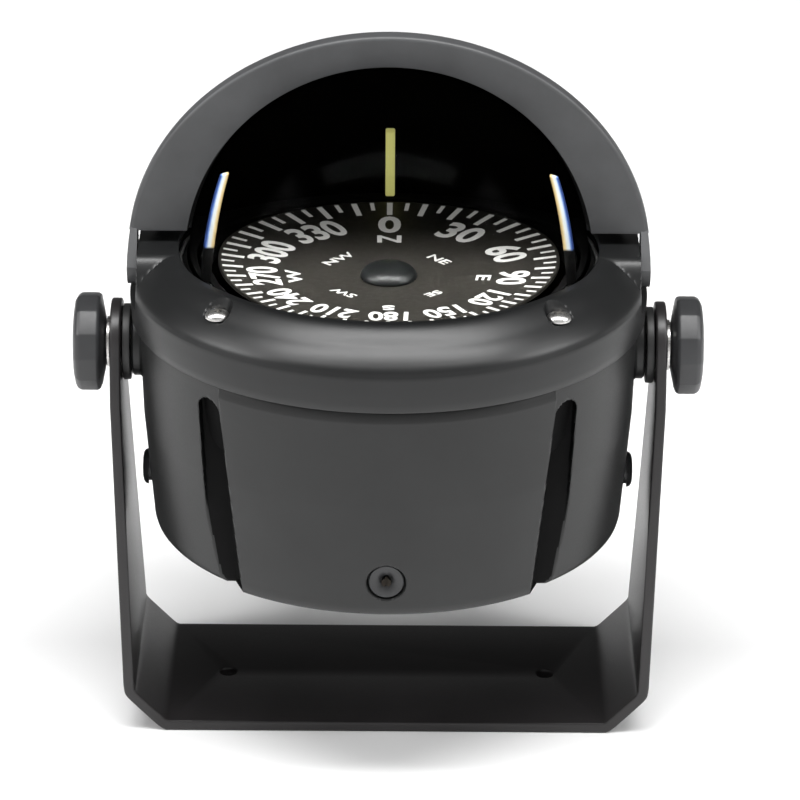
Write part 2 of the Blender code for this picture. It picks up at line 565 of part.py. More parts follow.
def compensators():
    """Two crossed shafts that carry small magnets, each turned from outside through its bushes."""
    bore = SHAFT_RADIUS + GAP
    for name, height, turn in (("fore_aft", FORE_AFT_Z, FORWARD), ("athwart", ATHWART_Z, OUTWARD[1])):
        half = 0.0662
        shaft = disc(f"{name}_shaft", "brass", SHAFT_RADIUS, -half, half, 12, at=(0, 0, height), turn=turn)
        slot_low = half - 0.0010
        for end in (-1, 1):
            low, high = sorted((end * slot_low, end * 0.070))
            corners = [(low, -0.00035), (high, -0.00035), (high, 0.00035), (low, 0.00035)]
            if name == "fore_aft":
                corners = [(across, along) for along, across in corners]
            cutter = prism(f"{name}_slot_{end}", None, corners, height - 0.002, height + 0.002, "XY")
            boolean(shaft, "DIFFERENCE", cutter)
        disc(f"{name}_magnet", "magnet_steel", 0.0030, 0.0150, 0.0290, 16, bore, (0, 0, height), turn)
    profile = [(bore, 0.0680), (0.0030, 0.0680), (0.0046, 0.0675), (0.0050, 0.0665)]
    profile += [(0.0040, 0.0665), (0.0040, 0.0590), (bore, 0.0590)]
    for name, side_sign in SIDES:
        turned(f"side_bush_{name}", "knob_plastic", profile, 14, (0, 0, ATHWART_Z), OUTWARD[side_sign])
    turned("rear_bush", "knob_plastic", profile, 14, (0, 0, FORE_AFT_Z), REARWARD)
    profile = [(bore, 0.0657), (0.0048, 0.0657), (0.0048, 0.0645)]
    profile += [(0.0037, 0.0645), (0.0037, 0.0590), (bore, 0.0590)]
    turned("front_bush", "knob_plastic", profile, 16, (0, 0, FORE_AFT_Z), FORWARD)


def lamp_and_grommet():
    """The night lamp's board and light pipe behind the bowl, and the cable inlet's rubber grommet."""
    block("lamp_board", "circuit_board", (-0.009, 0.0592, 0.0930), (0.009, 0.0608, 0.1050))
    disc("lamp_lens", "lens_red", 0.0024, 0.0480, 0.0589, 16, at=(0, 0, 0.0990), turn=REARWARD)
    profile = [(0.0022, 0.0705), (0.0042, 0.0705), (0.0060, 0.0692), (0.0060, 0.0677), (0.0037, 0.0677)]
    profile += [(0.0037, 0.0631), (0.0052, 0.0626), (0.0042, 0.0612), (0.0022, 0.0612)]
    turned("cable_grommet", "rubber_black", profile, 14, (0, 0, 0.0850), REARWARD)


def shade():
    """Applies each piece's modifiers, drops the cutters, and shades what is round smooth."""
    graph = bpy.context.evaluated_depsgraph_get()
    graph.update()
    solids = {obj.name: bpy.data.meshes.new_from_object(obj.evaluated_get(graph)) for obj in PARTS.objects}
    for obj in list(CUTTERS.objects):
        bpy.data.objects.remove(obj)
    bpy.data.collections.remove(CUTTERS)
    for obj in PARTS.objects:
        obj.modifiers.clear()
        obj.data = solids[obj.name]
        obj.data.shade_smooth()
        obj.data.set_sharp_from_angle(angle=math.radians(32))


def joint_empty(name, at, parent=None):
    """An empty on a joint's axis, which its body's pieces are parented to."""
    empty = bpy.data.objects.new(name, None)
    empty.location = at
    empty.empty_display_size = 0.02
    PARTS.objects.link(empty)
    bpy.context.view_layer.update()
    if parent:
        hang(empty, parent)
    return empty


def hang(obj, parent):
    """Parents an object, keeping it where it is."""
    obj.parent = parent
    obj.matrix_parent_inverse = parent.matrix_world.inverted()


def assemble():
    """Parents each moving body's pieces to an empty on its joint axis."""
    tilt = joint_empty("housing_tilt", (0, 0, PIVOT_Z))
    shield = joint_empty("shield_hinge", (0, 0, SPHERE_Z), tilt)
    roll = joint_empty("roll_axis", (0, 0, GIMBAL_Z), tilt)
    pitch = joint_empty("pitch_axis", (0, 0, GIMBAL_Z), roll)
    spin = joint_empty("card_axis", (0, 0, GIMBAL_Z), pitch)
    fore_aft = joint_empty("fore_aft_axis", (0, 0, FORE_AFT_Z), tilt)
    athwart = joint_empty("athwart_axis", (0, 0, ATHWART_Z), tilt)
    bodies = {
        shield: ["sun_shield"],
        roll: ["gimbal_ring", "roll_pin_front", "roll_pin_rear"]
        + ["lubber_main", "lubber_left", "lubber_right"],
        pitch: ["gimbal_frame", "pitch_pin_left", "pitch_pin_right", "counterweight", "pivot_post"],
        spin: ["compass_card", "card_hub", "jewel_cup", "card_magnet_left", "card_magnet_right"],
        fore_aft: ["fore_aft_shaft", "fore_aft_magnet"],
        athwart: ["athwart_shaft", "athwart_magnet"],
    }
    for side, side_sign in SIDES:
        screw = joint_empty(f"knob_axis_{side}", (side_sign * KNOB_BACK_X, 0, PIVOT_Z), tilt)
        bodies[screw] = [f"knob_{side}", f"stud_{side}", f"clamp_washer_{side}"]
    fixed = {"bracket", "friction_washer_left", "friction_washer_right"}
    taken = fixed | {name for names in bodies.values() for name in names}
    bodies[tilt] = [obj.name for obj in PARTS.objects if obj.type == "MESH" and obj.name not in taken]
    for parent, names in bodies.items():
        for name in names:
            hang(bpy.data.objects[name], parent)


bracket()
pivot_hardware()
housing()
bottom_cover()
bezel()
dome_and_bowl()
sun_shield()
gimbals()
card()
compensators()
lamp_and_grommet()
shade()
assemble()
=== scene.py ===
import json
import math

import bmesh
import bpy
import numpy as np
from mathutils import Matrix, Vector


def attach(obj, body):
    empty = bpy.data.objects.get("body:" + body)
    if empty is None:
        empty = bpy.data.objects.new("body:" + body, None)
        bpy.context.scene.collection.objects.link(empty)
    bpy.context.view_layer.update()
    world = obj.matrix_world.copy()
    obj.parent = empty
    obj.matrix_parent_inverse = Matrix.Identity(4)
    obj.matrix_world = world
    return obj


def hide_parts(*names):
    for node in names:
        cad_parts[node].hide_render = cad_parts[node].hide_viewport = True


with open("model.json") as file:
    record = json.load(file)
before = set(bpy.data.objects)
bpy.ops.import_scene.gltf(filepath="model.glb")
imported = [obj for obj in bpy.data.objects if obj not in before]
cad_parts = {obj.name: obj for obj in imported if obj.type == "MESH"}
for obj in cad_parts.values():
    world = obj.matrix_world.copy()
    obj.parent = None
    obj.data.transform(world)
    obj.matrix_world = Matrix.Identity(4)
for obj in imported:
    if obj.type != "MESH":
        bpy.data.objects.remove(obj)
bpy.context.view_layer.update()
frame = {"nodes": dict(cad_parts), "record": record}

# Metres, in the frame's axes: X across, -Y towards the front, Z up.
PIVOT_Z = 0.105  # the knobs' axis, about which the housing tilts
SPHERE_Z = 0.1296  # the centre of the dome, the bowl and the shield's shell
GIMBAL_Z = 0.123
SIDE_BUSH_Z = 0.0673
END_BUSH_Z = 0.0643
SIDES = (("left", -1), ("right", 1))
ON_AXIS = 1e-7  # a radius under this is a point on a turned piece's axis

# The housing's front panel narrows towards its foot, and the side grooves lean with it.
PANEL_HEIGHTS = [0.054, 0.114]
PANEL_HALF_WIDTHS = [0.0383, 0.0446]
PANEL_RISE = 0.0012
GROOVE_INNER = 0.0451
GROOVE_OUTER = 0.0506
GROOVE_OUTER_LEAN = 0.41  # how much of the panel's lean the outer edge takes
GROOVE_HEIGHTS = [0.056, 0.1090]
GROOVE_FLOORS = [-0.0470, -0.0425]
PORT_RADIUS = 0.0054
PORT_DEPTH = 0.0024
WALL_HEIGHTS = [0.058, 0.087, 0.1146]
WALL_RADII = [0.0650, 0.0674, 0.0683]

SCREW_CIRCLE = 0.0635
RECESS_RADIUS = 0.0040
RECESS_FLOOR_Z = 0.1309
CHEEK_FLAT = 0.0682  # the half width between the shield's pivot cheeks

DOME_OUTER = 0.0545
DOME_INNER = 0.0525
BOWL_OUTER = 0.0541
NECK_INNER = 0.0172
NECK_OUTER = 0.0240
NECK_Z = 0.0775
SHIELD_OUTER = 0.058
SHIELD_INNER = 0.0552
RIM_HALF_WIDTH = 0.0713
RIM_HEIGHT = 0.0641
RIM_BACK = 0.0060
SHELL_FRONT = 0.0140

LUBBER_FOOT_Z = 0.1246
SIDE_LUBBER_INNER = 0.0367
SIDE_LUBBER_OUTER = 0.0398
SIDE_LUBBER_BLACK_Z = 0.1322  # painted black below this height

CARD_RADIUS = 0.0330
CARD_TOP_Z = 0.1260
PRINT_Z = 0.12602
PRINT_THICKNESS = 0.0001

KNOB_THICKNESS = 0.0089
THREAD_SPACING = 0.0008
SHAFT_BORE = 0.0016

LIQUID_IOR = 1.40
CAMERA_LENS = 193.5
CAMERA_TILT = 24
CAMERA_ROLL = 0.4
CAMERA_DISTANCE = 1.1825
CAMERA_AIM = (0.0033, -0.0064, 0.0907)


# ---------------------------------------------------------------- materials


def shader_nodes(name):
    """A new material with its node tree, its Principled node and object coordinates."""
    mat = bpy.data.materials.new(name)
    mat.use_nodes = True
    tree = mat.node_tree
    shader = tree.nodes["Principled BSDF"]
    coords = tree.nodes.new("ShaderNodeTexCoord").outputs["Object"]
    return mat, tree, shader, coords


def noise(tree, coords, scale, detail=3.0, roughness=0.55, stretch=None):
    """A noise texture's value, optionally stretched along an axis."""
    node = tree.nodes.new("ShaderNodeTexNoise")
    node.inputs["Scale"].default_value = scale
    node.inputs["Detail"].default_value = detail
    node.inputs["Roughness"].default_value = roughness
    if stretch:
        mapping = tree.nodes.new("ShaderNodeMapping")
        mapping.inputs["Scale"].default_value = stretch
        tree.links.new(coords, mapping.inputs["Vector"])
        coords = mapping.outputs["Vector"]
    tree.links.new(coords, node.inputs["Vector"])
    return node.outputs["Fac"]


def spread(tree, value, low, high, from_low=0.3, from_high=0.7):
    """Maps a value's range, which is a noise's middle unless it is given, to low..high."""
    node = tree.nodes.new("ShaderNodeMapRange")
    node.inputs["From Min"].default_value = from_low
    node.inputs["From Max"].default_value = from_high
    node.inputs["To Min"].default_value = low
    node.inputs["To Max"].default_value = high
    tree.links.new(value, node.inputs["Value"])
    return node.outputs["Result"]


def tones(tree, value, stops):
    """A colour ramp through (position, colour) stops."""
    ramp = tree.nodes.new("ShaderNodeValToRGB")
    elements = ramp.color_ramp.elements
    while len(elements) < len(stops):
        elements.new(0.5)
    for element, (position, colour) in zip(elements, stops):
        element.position = position
        element.color = (*colour, 1.0)
    tree.links.new(value, ramp.inputs["Fac"])
    return ramp.outputs["Color"]


def grain(tree, shader, coords, scale, strength, depth=0.00006, stretch=None):
    """Fine surface relief."""
    bump = tree.nodes.new("ShaderNodeBump")
    bump.inputs["Strength"].default_value = strength
    bump.inputs["Distance"].default_value = depth
    tree.links.new(noise(tree, coords, scale, 4.0, 0.6, stretch), bump.inputs["Height"])
    tree.links.new(bump.outputs["Normal"], shader.inputs["Normal"])


def plastic(name, colour, roughness, texture=1500, relief=0.25, mottle=0.16, specular=0.5, painted_glow=0.0):
    """Moulded plastic: fine spark-eroded grain, faint flow mottling, uneven gloss, and an optional painted
    glow in its own colour.
    """
    mat, tree, shader, coords = shader_nodes(name)
    flow = noise(tree, coords, 55, 4.0, 0.6)
    dark = tuple(c * (1 - mottle) for c in colour)
    light = tuple(c * (1 + mottle) for c in colour)
    paint = tones(tree, flow, [(0.32, dark), (0.68, light)])
    tree.links.new(paint, shader.inputs["Base Color"])
    fine = noise(tree, coords, 1800, 3.0, 0.6)
    tree.links.new(spread(tree, fine, roughness - 0.03, roughness + 0.03), shader.inputs["Roughness"])
    grain(tree, shader, coords, texture, relief)
    shader.inputs["Specular IOR Level"].default_value = specular
    # Painted glow: emission in the plastic's own colour, for pieces that are no lamps.
    if painted_glow:
        tree.links.new(paint, shader.inputs["Emission Color"])
        shader.inputs["Emission Strength"].default_value = painted_glow
    return mat


def metal(name, colour, roughness, stretch=(1, 1, 12)):
    """Machined metal with fine turning lines and light handling marks."""
    mat, tree, shader, coords = shader_nodes(name)
    lines = noise(tree, coords, 900, 3.0, 0.7, stretch)
    dark = tuple(c * 0.82 for c in colour)
    tree.links.new(tones(tree, lines, [(0.3, dark), (0.7, colour)]), shader.inputs["Base Color"])
    tree.links.new(spread(tree, lines, roughness - 0.06, roughness + 0.10), shader.inputs["Roughness"])
    grain(tree, shader, coords, 1400, 0.15, 0.00003, stretch)
    shader.inputs["Metallic"].default_value = 1.0
    return mat


def liquid_filled_dome():
    """Polished clear acrylic over clear liquid: its outer face bends light once, with a faint gloss."""
    mat = bpy.data.materials.new("dome_acrylic")
    mat.use_nodes = True
    tree = mat.node_tree
    tree.nodes.remove(tree.nodes["Principled BSDF"])
    coords = tree.nodes.new("ShaderNodeTexCoord").outputs["Object"]
    haze = noise(tree, coords, 90, 3.0, 0.5)
    inside = tree.nodes.new("ShaderNodeBsdfRefraction")
    inside.inputs["IOR"].default_value = LIQUID_IOR
    tint = tones(tree, haze, [(0.3, (0.95, 0.96, 0.96)), (0.7, (0.99, 0.99, 0.99))])
    tree.links.new(tint, inside.inputs["Color"])
    inside.inputs["Roughness"].default_value = 0.0
    gloss = tree.nodes.new("ShaderNodeBsdfGlossy")
    gloss.inputs["Color"].default_value = (0.010, 0.010, 0.010, 1)
    tree.links.new(spread(tree, haze, 0.03, 0.09), gloss.inputs["Roughness"])
    fresnel = tree.nodes.new("ShaderNodeFresnel")
    fresnel.inputs["IOR"].default_value = LIQUID_IOR
    surface = tree.nodes.new("ShaderNodeMixShader")
    tree.links.new(fresnel.outputs["Fac"], surface.inputs[0])
    tree.links.new(inside.outputs["BSDF"], surface.inputs[1])
    tree.links.new(gloss.outputs["BSDF"], surface.inputs[2])
    ray = tree.nodes.new("ShaderNodeLightPath")
    clear = tree.nodes.new("ShaderNodeBsdfTransparent")
    mix = tree.nodes.new("ShaderNodeMixShader")
    tree.links.new(ray.outputs["Is Shadow Ray"], mix.inputs[0])
    tree.links.new(surface.outputs["Shader"], mix.inputs[1])
    tree.links.new(clear.outputs["BSDF"], mix.inputs[2])
    tree.links.new(mix.outputs["Shader"], tree.nodes["Material Output"].inputs["Surface"])
    return mat


def wetted_face():
    """The dome's inner face, which the liquid makes all but invisible."""
    mat = bpy.data.materials.new("dome_inner_face")
    mat.use_nodes = True
    tree = mat.node_tree
    tree.nodes.remove(tree.nodes["Principled BSDF"])
    coords = tree.nodes.new("ShaderNodeTexCoord").outputs["Object"]
    clear = tree.nodes.new("ShaderNodeBsdfTransparent")
    haze = noise(tree, coords, 60, 3.0, 0.5)
    tint = tones(tree, haze, [(0.3, (0.96, 0.97, 0.96)), (0.7, (0.99, 0.99, 0.99))])
    tree.links.new(tint, clear.inputs["Color"])
    tree.links.new(clear.outputs["BSDF"], tree.nodes["Material Output"].inputs["Surface"])
    return mat


def edge_lit_white():
    """White above a black foot, with an amber inner edge and a blue outer edge: painted colour fringes for
    light split by the dome, and a painted glow.
    """
    mat, tree, shader, coords = shader_nodes("lubber_painted_fringes")
    flat = tree.nodes.new("ShaderNodeVectorMath")
    flat.operation = "MULTIPLY"
    flat.inputs[1].default_value = (1, 1, 0)
    tree.links.new(coords, flat.inputs[0])
    length = tree.nodes.new("ShaderNodeVectorMath")
    length.operation = "LENGTH"
    tree.links.new(flat.outputs["Vector"], length.inputs[0])
    share = spread(tree, length.outputs["Value"], 0.0, 1.0, SIDE_LUBBER_INNER, SIDE_LUBBER_OUTER)
    parts = tree.nodes.new("ShaderNodeSeparateXYZ")
    tree.links.new(coords, parts.inputs[0])
    lit = spread(tree, parts.outputs["Z"], 0.0, 1.0, SIDE_LUBBER_BLACK_Z, SIDE_LUBBER_BLACK_Z + 0.0005)
    # Painted light: amber and blue fringes across the post's thickness stand in for the colours the dome
    # splits light into.
    stops = [(0.0, (0.40, 0.24, 0.07)), (0.25, (0.80, 0.66, 0.36)), (0.42, (0.86, 0.87, 0.84))]
    stops += [(0.66, (0.80, 0.88, 0.95)), (0.84, (0.16, 0.30, 0.72)), (1.0, (0.03, 0.06, 0.22))]
    painted = tree.nodes.new("ShaderNodeMix")
    painted.data_type = "RGBA"
    painted.inputs[6].default_value = (0.004, 0.004, 0.004, 1)
    tree.links.new(lit, painted.inputs[0])
    tree.links.new(tones(tree, share, stops), painted.inputs[7])
    tree.links.new(painted.outputs[2], shader.inputs["Base Color"])
    fine = noise(tree, coords, 500)
    tree.links.new(spread(tree, fine, 0.35, 0.5), shader.inputs["Roughness"])
    grain(tree, shader, coords, 1500, 0.1)
    # Painted glow: the post gives off light in its own colours, though it is no lamp.
    tree.links.new(painted.outputs[2], shader.inputs["Emission Color"])
    shader.inputs["Emission Strength"].default_value = 0.25
    return mat


def printed_card():
    """The card's brown-black printed face."""
    mat, tree, shader, coords = shader_nodes("card_face_print")
    speck = noise(tree, coords, 700, 4.0, 0.7)
    paint = tones(tree, speck, [(0.3, (0.011, 0.0095, 0.0072)), (0.7, (0.018, 0.0158, 0.0120))])
    tree.links.new(paint, shader.inputs["Base Color"])
    tree.links.new(spread(tree, speck, 0.5, 0.65), shader.inputs["Roughness"])
    grain(tree, shader, coords, 1800, 0.15)
    return mat


def rubber(name):
    """Moulded black rubber, matte and finely pitted."""
    mat, tree, shader, coords = shader_nodes(name)
    speck = noise(tree, coords, 300, 4.0, 0.7)
    paint = tones(tree, speck, [(0.3, (0.012, 0.012, 0.012)), (0.7, (0.024, 0.023, 0.022))])
    tree.links.new(paint, shader.inputs["Base Color"])
    tree.links.new(spread(tree, speck, 0.7, 0.9), shader.inputs["Roughness"])
    grain(tree, shader, coords, 900, 0.3)
    return mat


LOOKS = {
    "housing_plastic": plastic("housing_satin", (0.0105, 0.0108, 0.0108), 0.42, specular=0.40),
    "bezel_plastic": plastic("bezel_satin", (0.0070, 0.0073, 0.0075), 0.36, relief=0.03, specular=0.42),
    "shield_plastic": plastic("shield_satin", (0.050, 0.051, 0.053), 0.44, relief=0.22),
    "bracket_plastic": plastic("bracket_satin", (0.0140, 0.0125, 0.0130), 0.38, texture=1100, relief=0.3),
    "knob_plastic": plastic("knob_satin", (0.026, 0.0265, 0.028), 0.42, texture=1300, relief=0.3),
    "nylon_washer": plastic("washer_nylon", (0.018, 0.018, 0.018), 0.5),
    "bowl_plastic": plastic("bowl_inside", (0.0025, 0.0025, 0.0025), 0.85, specular=0.02),
    "gimbal_plastic": plastic("gimbal_matte", (0.0035, 0.0035, 0.0035), 0.8, specular=0.05),
    "hub_black": plastic("hub_satin", (0.008, 0.009, 0.009), 0.32),
    # Painted glow: the yellow lubber line and the white print give off light in their own colour, though they
    # are no lamps.
    "lubber_yellow": plastic("lubber_yellow_green", (0.80, 0.77, 0.25), 0.45, mottle=0.06, painted_glow=0.35),
    "white_print": plastic("white_print", (0.58, 0.57, 0.55), 0.6, mottle=0.05, specular=0.2, painted_glow=0.22),
    "jewel_ruby": plastic("jewel_polished", (0.50, 0.03, 0.06), 0.12),
    "circuit_board": plastic("board_green", (0.02, 0.12, 0.05), 0.5),
    "lens_red": plastic("lens_red_clear", (0.70, 0.06, 0.04), 0.12),
    "stainless": metal("stainless_turned", (0.72, 0.71, 0.69), 0.28),
    "brass": metal("brass_turned", (0.62, 0.42, 0.16), 0.32),
    "blackened_brass": metal("brass_blackened", (0.030, 0.026, 0.022), 0.45),
    "magnet_steel": metal("magnet_plated", (0.25, 0.25, 0.26), 0.35),
    "rubber_black": rubber("rubber_moulded"),
    "clear_acrylic": liquid_filled_dome(),
    "dome_inner": wetted_face(),
    # Painted shade: a near-black matte copy of the housing plastic for the faces deep in the side grooves.
    "groove_painted_shade": plastic("groove_painted_shade", (0.0035, 0.0035, 0.0036), 0.7, relief=0.4, specular=0.12),
    # Painted shade: a near-black matte copy of the shield plastic for the shield's inner faces.
    "shield_painted_shade": plastic("shield_inner_painted_shade", (0.004, 0.004, 0.004), 0.75, specular=0.1),
    "lubber_white": edge_lit_white(),
    "card_black": printed_card(),
}


# ---------------------------------------------------------------- shape tools


def new_object(name, mesh):
    """An object that holds a mesh, a curve, a lamp or a camera, linked to the scene."""
    obj = bpy.data.objects.new(name, mesh)
    bpy.context.scene.collection.objects.link(obj)
    return obj


def smooth(obj, degrees=32):
    """Smooth shading, with edges sharper than an angle kept crisp."""
    obj.data.shade_smooth()
    obj.data.set_sharp_from_angle(angle=math.radians(degrees))
    return obj


def piece(obj, body, slot, look, *nodes):
    """Gives a piece its material, its body and the CAD nodes it stands for; its slot argument is not used."""
    obj.data.materials.clear()
    obj.data.materials.append(LOOKS[look])
    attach(obj, body)
    if nodes:
        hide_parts(*nodes)
    return obj


def line_inside(obj, look, centre, within):
    """Gives the faces that look towards the centre, and lie within a radius of it, their own material: the
    dome's wetted face, and the shield's painted shade.
    """
    obj.data.materials.append(LOOKS[look])
    for face in obj.data.polygons:
        away = face.center - Vector(centre)
        if away.dot(face.normal) < 0 and away.length < within:
            face.material_index = 1


def softened(points, size, closed=True, segments=3):
    """A polyline with each corner cut back by at most size and rounded."""
    out = []
    count = len(points)
    for i, here in enumerate(points):
        if not closed and i in (0, count - 1):
            out.append(here)
            continue
        here = Vector(here)
        before = Vector(points[i - 1]) - here
        after = Vector(points[(i + 1) % count]) - here
        start = here + before.normalized() * min(size, before.length * 0.42)
        end = here + after.normalized() * min(size, after.length * 0.42)
        for j in range(segments + 1):
            t = j / segments
            at = start * (1 - t) ** 2 + here * 2 * t * (1 - t) + end * t ** 2
            out.append(tuple(at))
    return out


def flowing(points, per_span=6):
    """A Catmull-Rom curve through the points."""
    pts = [Vector(p) for p in points]
    pts = [pts[0] * 2 - pts[1]] + pts + [pts[-1] * 2 - pts[-2]]
    out = []
    for i in range(1, len(pts) - 2):
        a, b, c, d = pts[i - 1:i + 3]
        for j in range(per_span):
            t = j / per_span
            at = 2 * b + (c - a) * t + (2 * a - 5 * b + 4 * c - d) * t ** 2
            at = 0.5 * (at + (3 * b - a - 3 * c + d) * t ** 3)
            out.append(tuple(at))
    out.append(tuple(pts[-2]))
    return out


def lathe(name, profile, steps=96, matrix=Matrix.Identity(4), sharp=32):
    """A (radius, height) outline turned about Z; it closes on itself unless it starts on the axis."""
    bm = bmesh.new()
    turns = [2 * math.pi * i / steps for i in range(steps)]
    rows = []
    for radius, height in profile:
        if radius < ON_AXIS:
            rows.append([bm.verts.new((0, 0, height))])
            continue
        rows.append([bm.verts.new((radius * math.cos(t), radius * math.sin(t), height)) for t in turns])
    pairs = list(zip(rows, rows[1:]))
    if profile[0][0] > ON_AXIS:
        pairs.append((rows[-1], rows[0]))
    for upper, lower in pairs:
        for i in range(steps):
            j = (i + 1) % steps
            corners = [upper[i % len(upper)], upper[j % len(upper)]]
            corners += [lower[j % len(lower)], lower[i % len(lower)]]
            corners = [v for k, v in enumerate(corners) if v not in corners[:k]]
            if len(corners) > 2:
                bm.faces.new(corners)
    bmesh.ops.recalc_face_normals(bm, faces=bm.faces)
    bmesh.ops.transform(bm, matrix=matrix, verts=bm.verts)
    mesh = bpy.data.meshes.new(name)
    bm.to_mesh(mesh)
    bm.free()
    return smooth(new_object(name, mesh), sharp)


def along(side_sign, at=(0, 0, PIVOT_Z)):
    """Stands a turned piece on the X axis, pointing outward on one side."""
    return Matrix.Translation(at) @ Matrix.Rotation(side_sign * math.pi / 2, 4, "Y")


def fore_and_aft(sign, at):
    """Stands a turned piece on the Y axis: sign -1 points it forward."""
    return Matrix.Translation(at) @ Matrix.Rotation(-sign * math.pi / 2, 4, "X")


def ring_surface(name, profile, angles, shape, sharp=30):
    """A closed (radius, height) outline carried round a full turn of angles, then moved by shape(points)."""
    profile = np.array(profile)
    angles = np.array(angles)
    radius = profile[None, :, 0]
    points = np.stack([
        radius * np.cos(angles)[:, None],
        radius * np.sin(angles)[:, None],
        np.broadcast_to(profile[None, :, 1], (len(angles), len(profile))),
    ], axis=-1)
    points = shape(points.copy())
    columns, rows = points.shape[:2]
    grid = np.arange(columns * rows).reshape(columns, rows)
    right = np.roll(grid, -1, axis=0)
    faces = np.stack([grid, right, np.roll(right, -1, axis=1), np.roll(grid, -1, axis=1)], axis=-1)
    mesh = bpy.data.meshes.new(name)
    mesh.from_pydata(points.reshape(-1, 3).tolist(), [], faces.reshape(-1, 4).tolist())
    bm = bmesh.new()
    bm.from_mesh(mesh)
    bmesh.ops.recalc_face_normals(bm, faces=bm.faces)
    bm.to_mesh(mesh)
    bm.free()
    return smooth(new_object(name, mesh), sharp)


def step(value, width):
    """0 below zero, 1 above width, with soft ends."""
    t = np.clip(value / width, 0, 1)
    return t * t * (3 - 2 * t)


def solid_outline(name, outline, low, high, plane):
    """A flat outline extruded from low to high along the axis the plane leaves out."""
    order = {"XY": (0, 1, 2), "XZ": (0, 2, 1), "YZ": (1, 2, 0)}[plane]
    bm = bmesh.new()
    ends = []
    for level in (low, high):
        loop = []
        for u, v in outline:
            at = [0.0, 0.0, 0.0]
            at[order[0]], at[order[1]], at[order[2]] = u, v, level
            loop.append(bm.verts.new(at))
        ends.append(loop)
        bm.faces.new(loop)
    for i in range(len(outline)):
        j = (i + 1) % len(outline)
        bm.faces.new((ends[0][i], ends[0][j], ends[1][j], ends[1][i]))
    bmesh.ops.recalc_face_normals(bm, faces=bm.faces)
    mesh = bpy.data.meshes.new(name)
    bm.to_mesh(mesh)
    bm.free()
    return new_object(name, mesh)


def combine(obj, operation, *others):
    """Joins or cuts, then applies and removes the helpers."""
    for other in others:
        change = obj.modifiers.new(operation, "BOOLEAN")
        change.operation = operation
        change.solver = "EXACT"
        change.object = other
    applied(obj)
    for other in others:
        bpy.data.objects.remove(other)
    return obj


def applied(obj):
    """Replaces an object's mesh by its evaluated one."""
    graph = bpy.context.evaluated_depsgraph_get()
    graph.update()
    mesh = bpy.data.meshes.new_from_object(obj.evaluated_get(graph))
    obj.modifiers.clear()
    obj.data = mesh
    return obj


def round_edges(obj, width, degrees=28, segments=3):
    """Bevels the edges sharper than an angle."""
    bevel = obj.modifiers.new("edges", "BEVEL")
    bevel.width = width
    bevel.segments = segments
    bevel.limit_method = "ANGLE"
    bevel.angle_limit = math.radians(degrees)
    applied(obj)
    return smooth(obj, 40)


def arc(radius, start, end, count, centre=(0, 0)):
    """Points along an arc, from one angle in degrees to another."""
    angles = [math.radians(start + (end - start) * i / count) for i in range(count + 1)]
    return [(centre[0] + radius * math.cos(a), centre[1] + radius * math.sin(a)) for a in angles]


# ---------------------------------------------------------------- housing


def panel_edge(z):
    """The front panel's half width at a height."""
    return np.interp(z, PANEL_HEIGHTS, PANEL_HALF_WIDTHS)


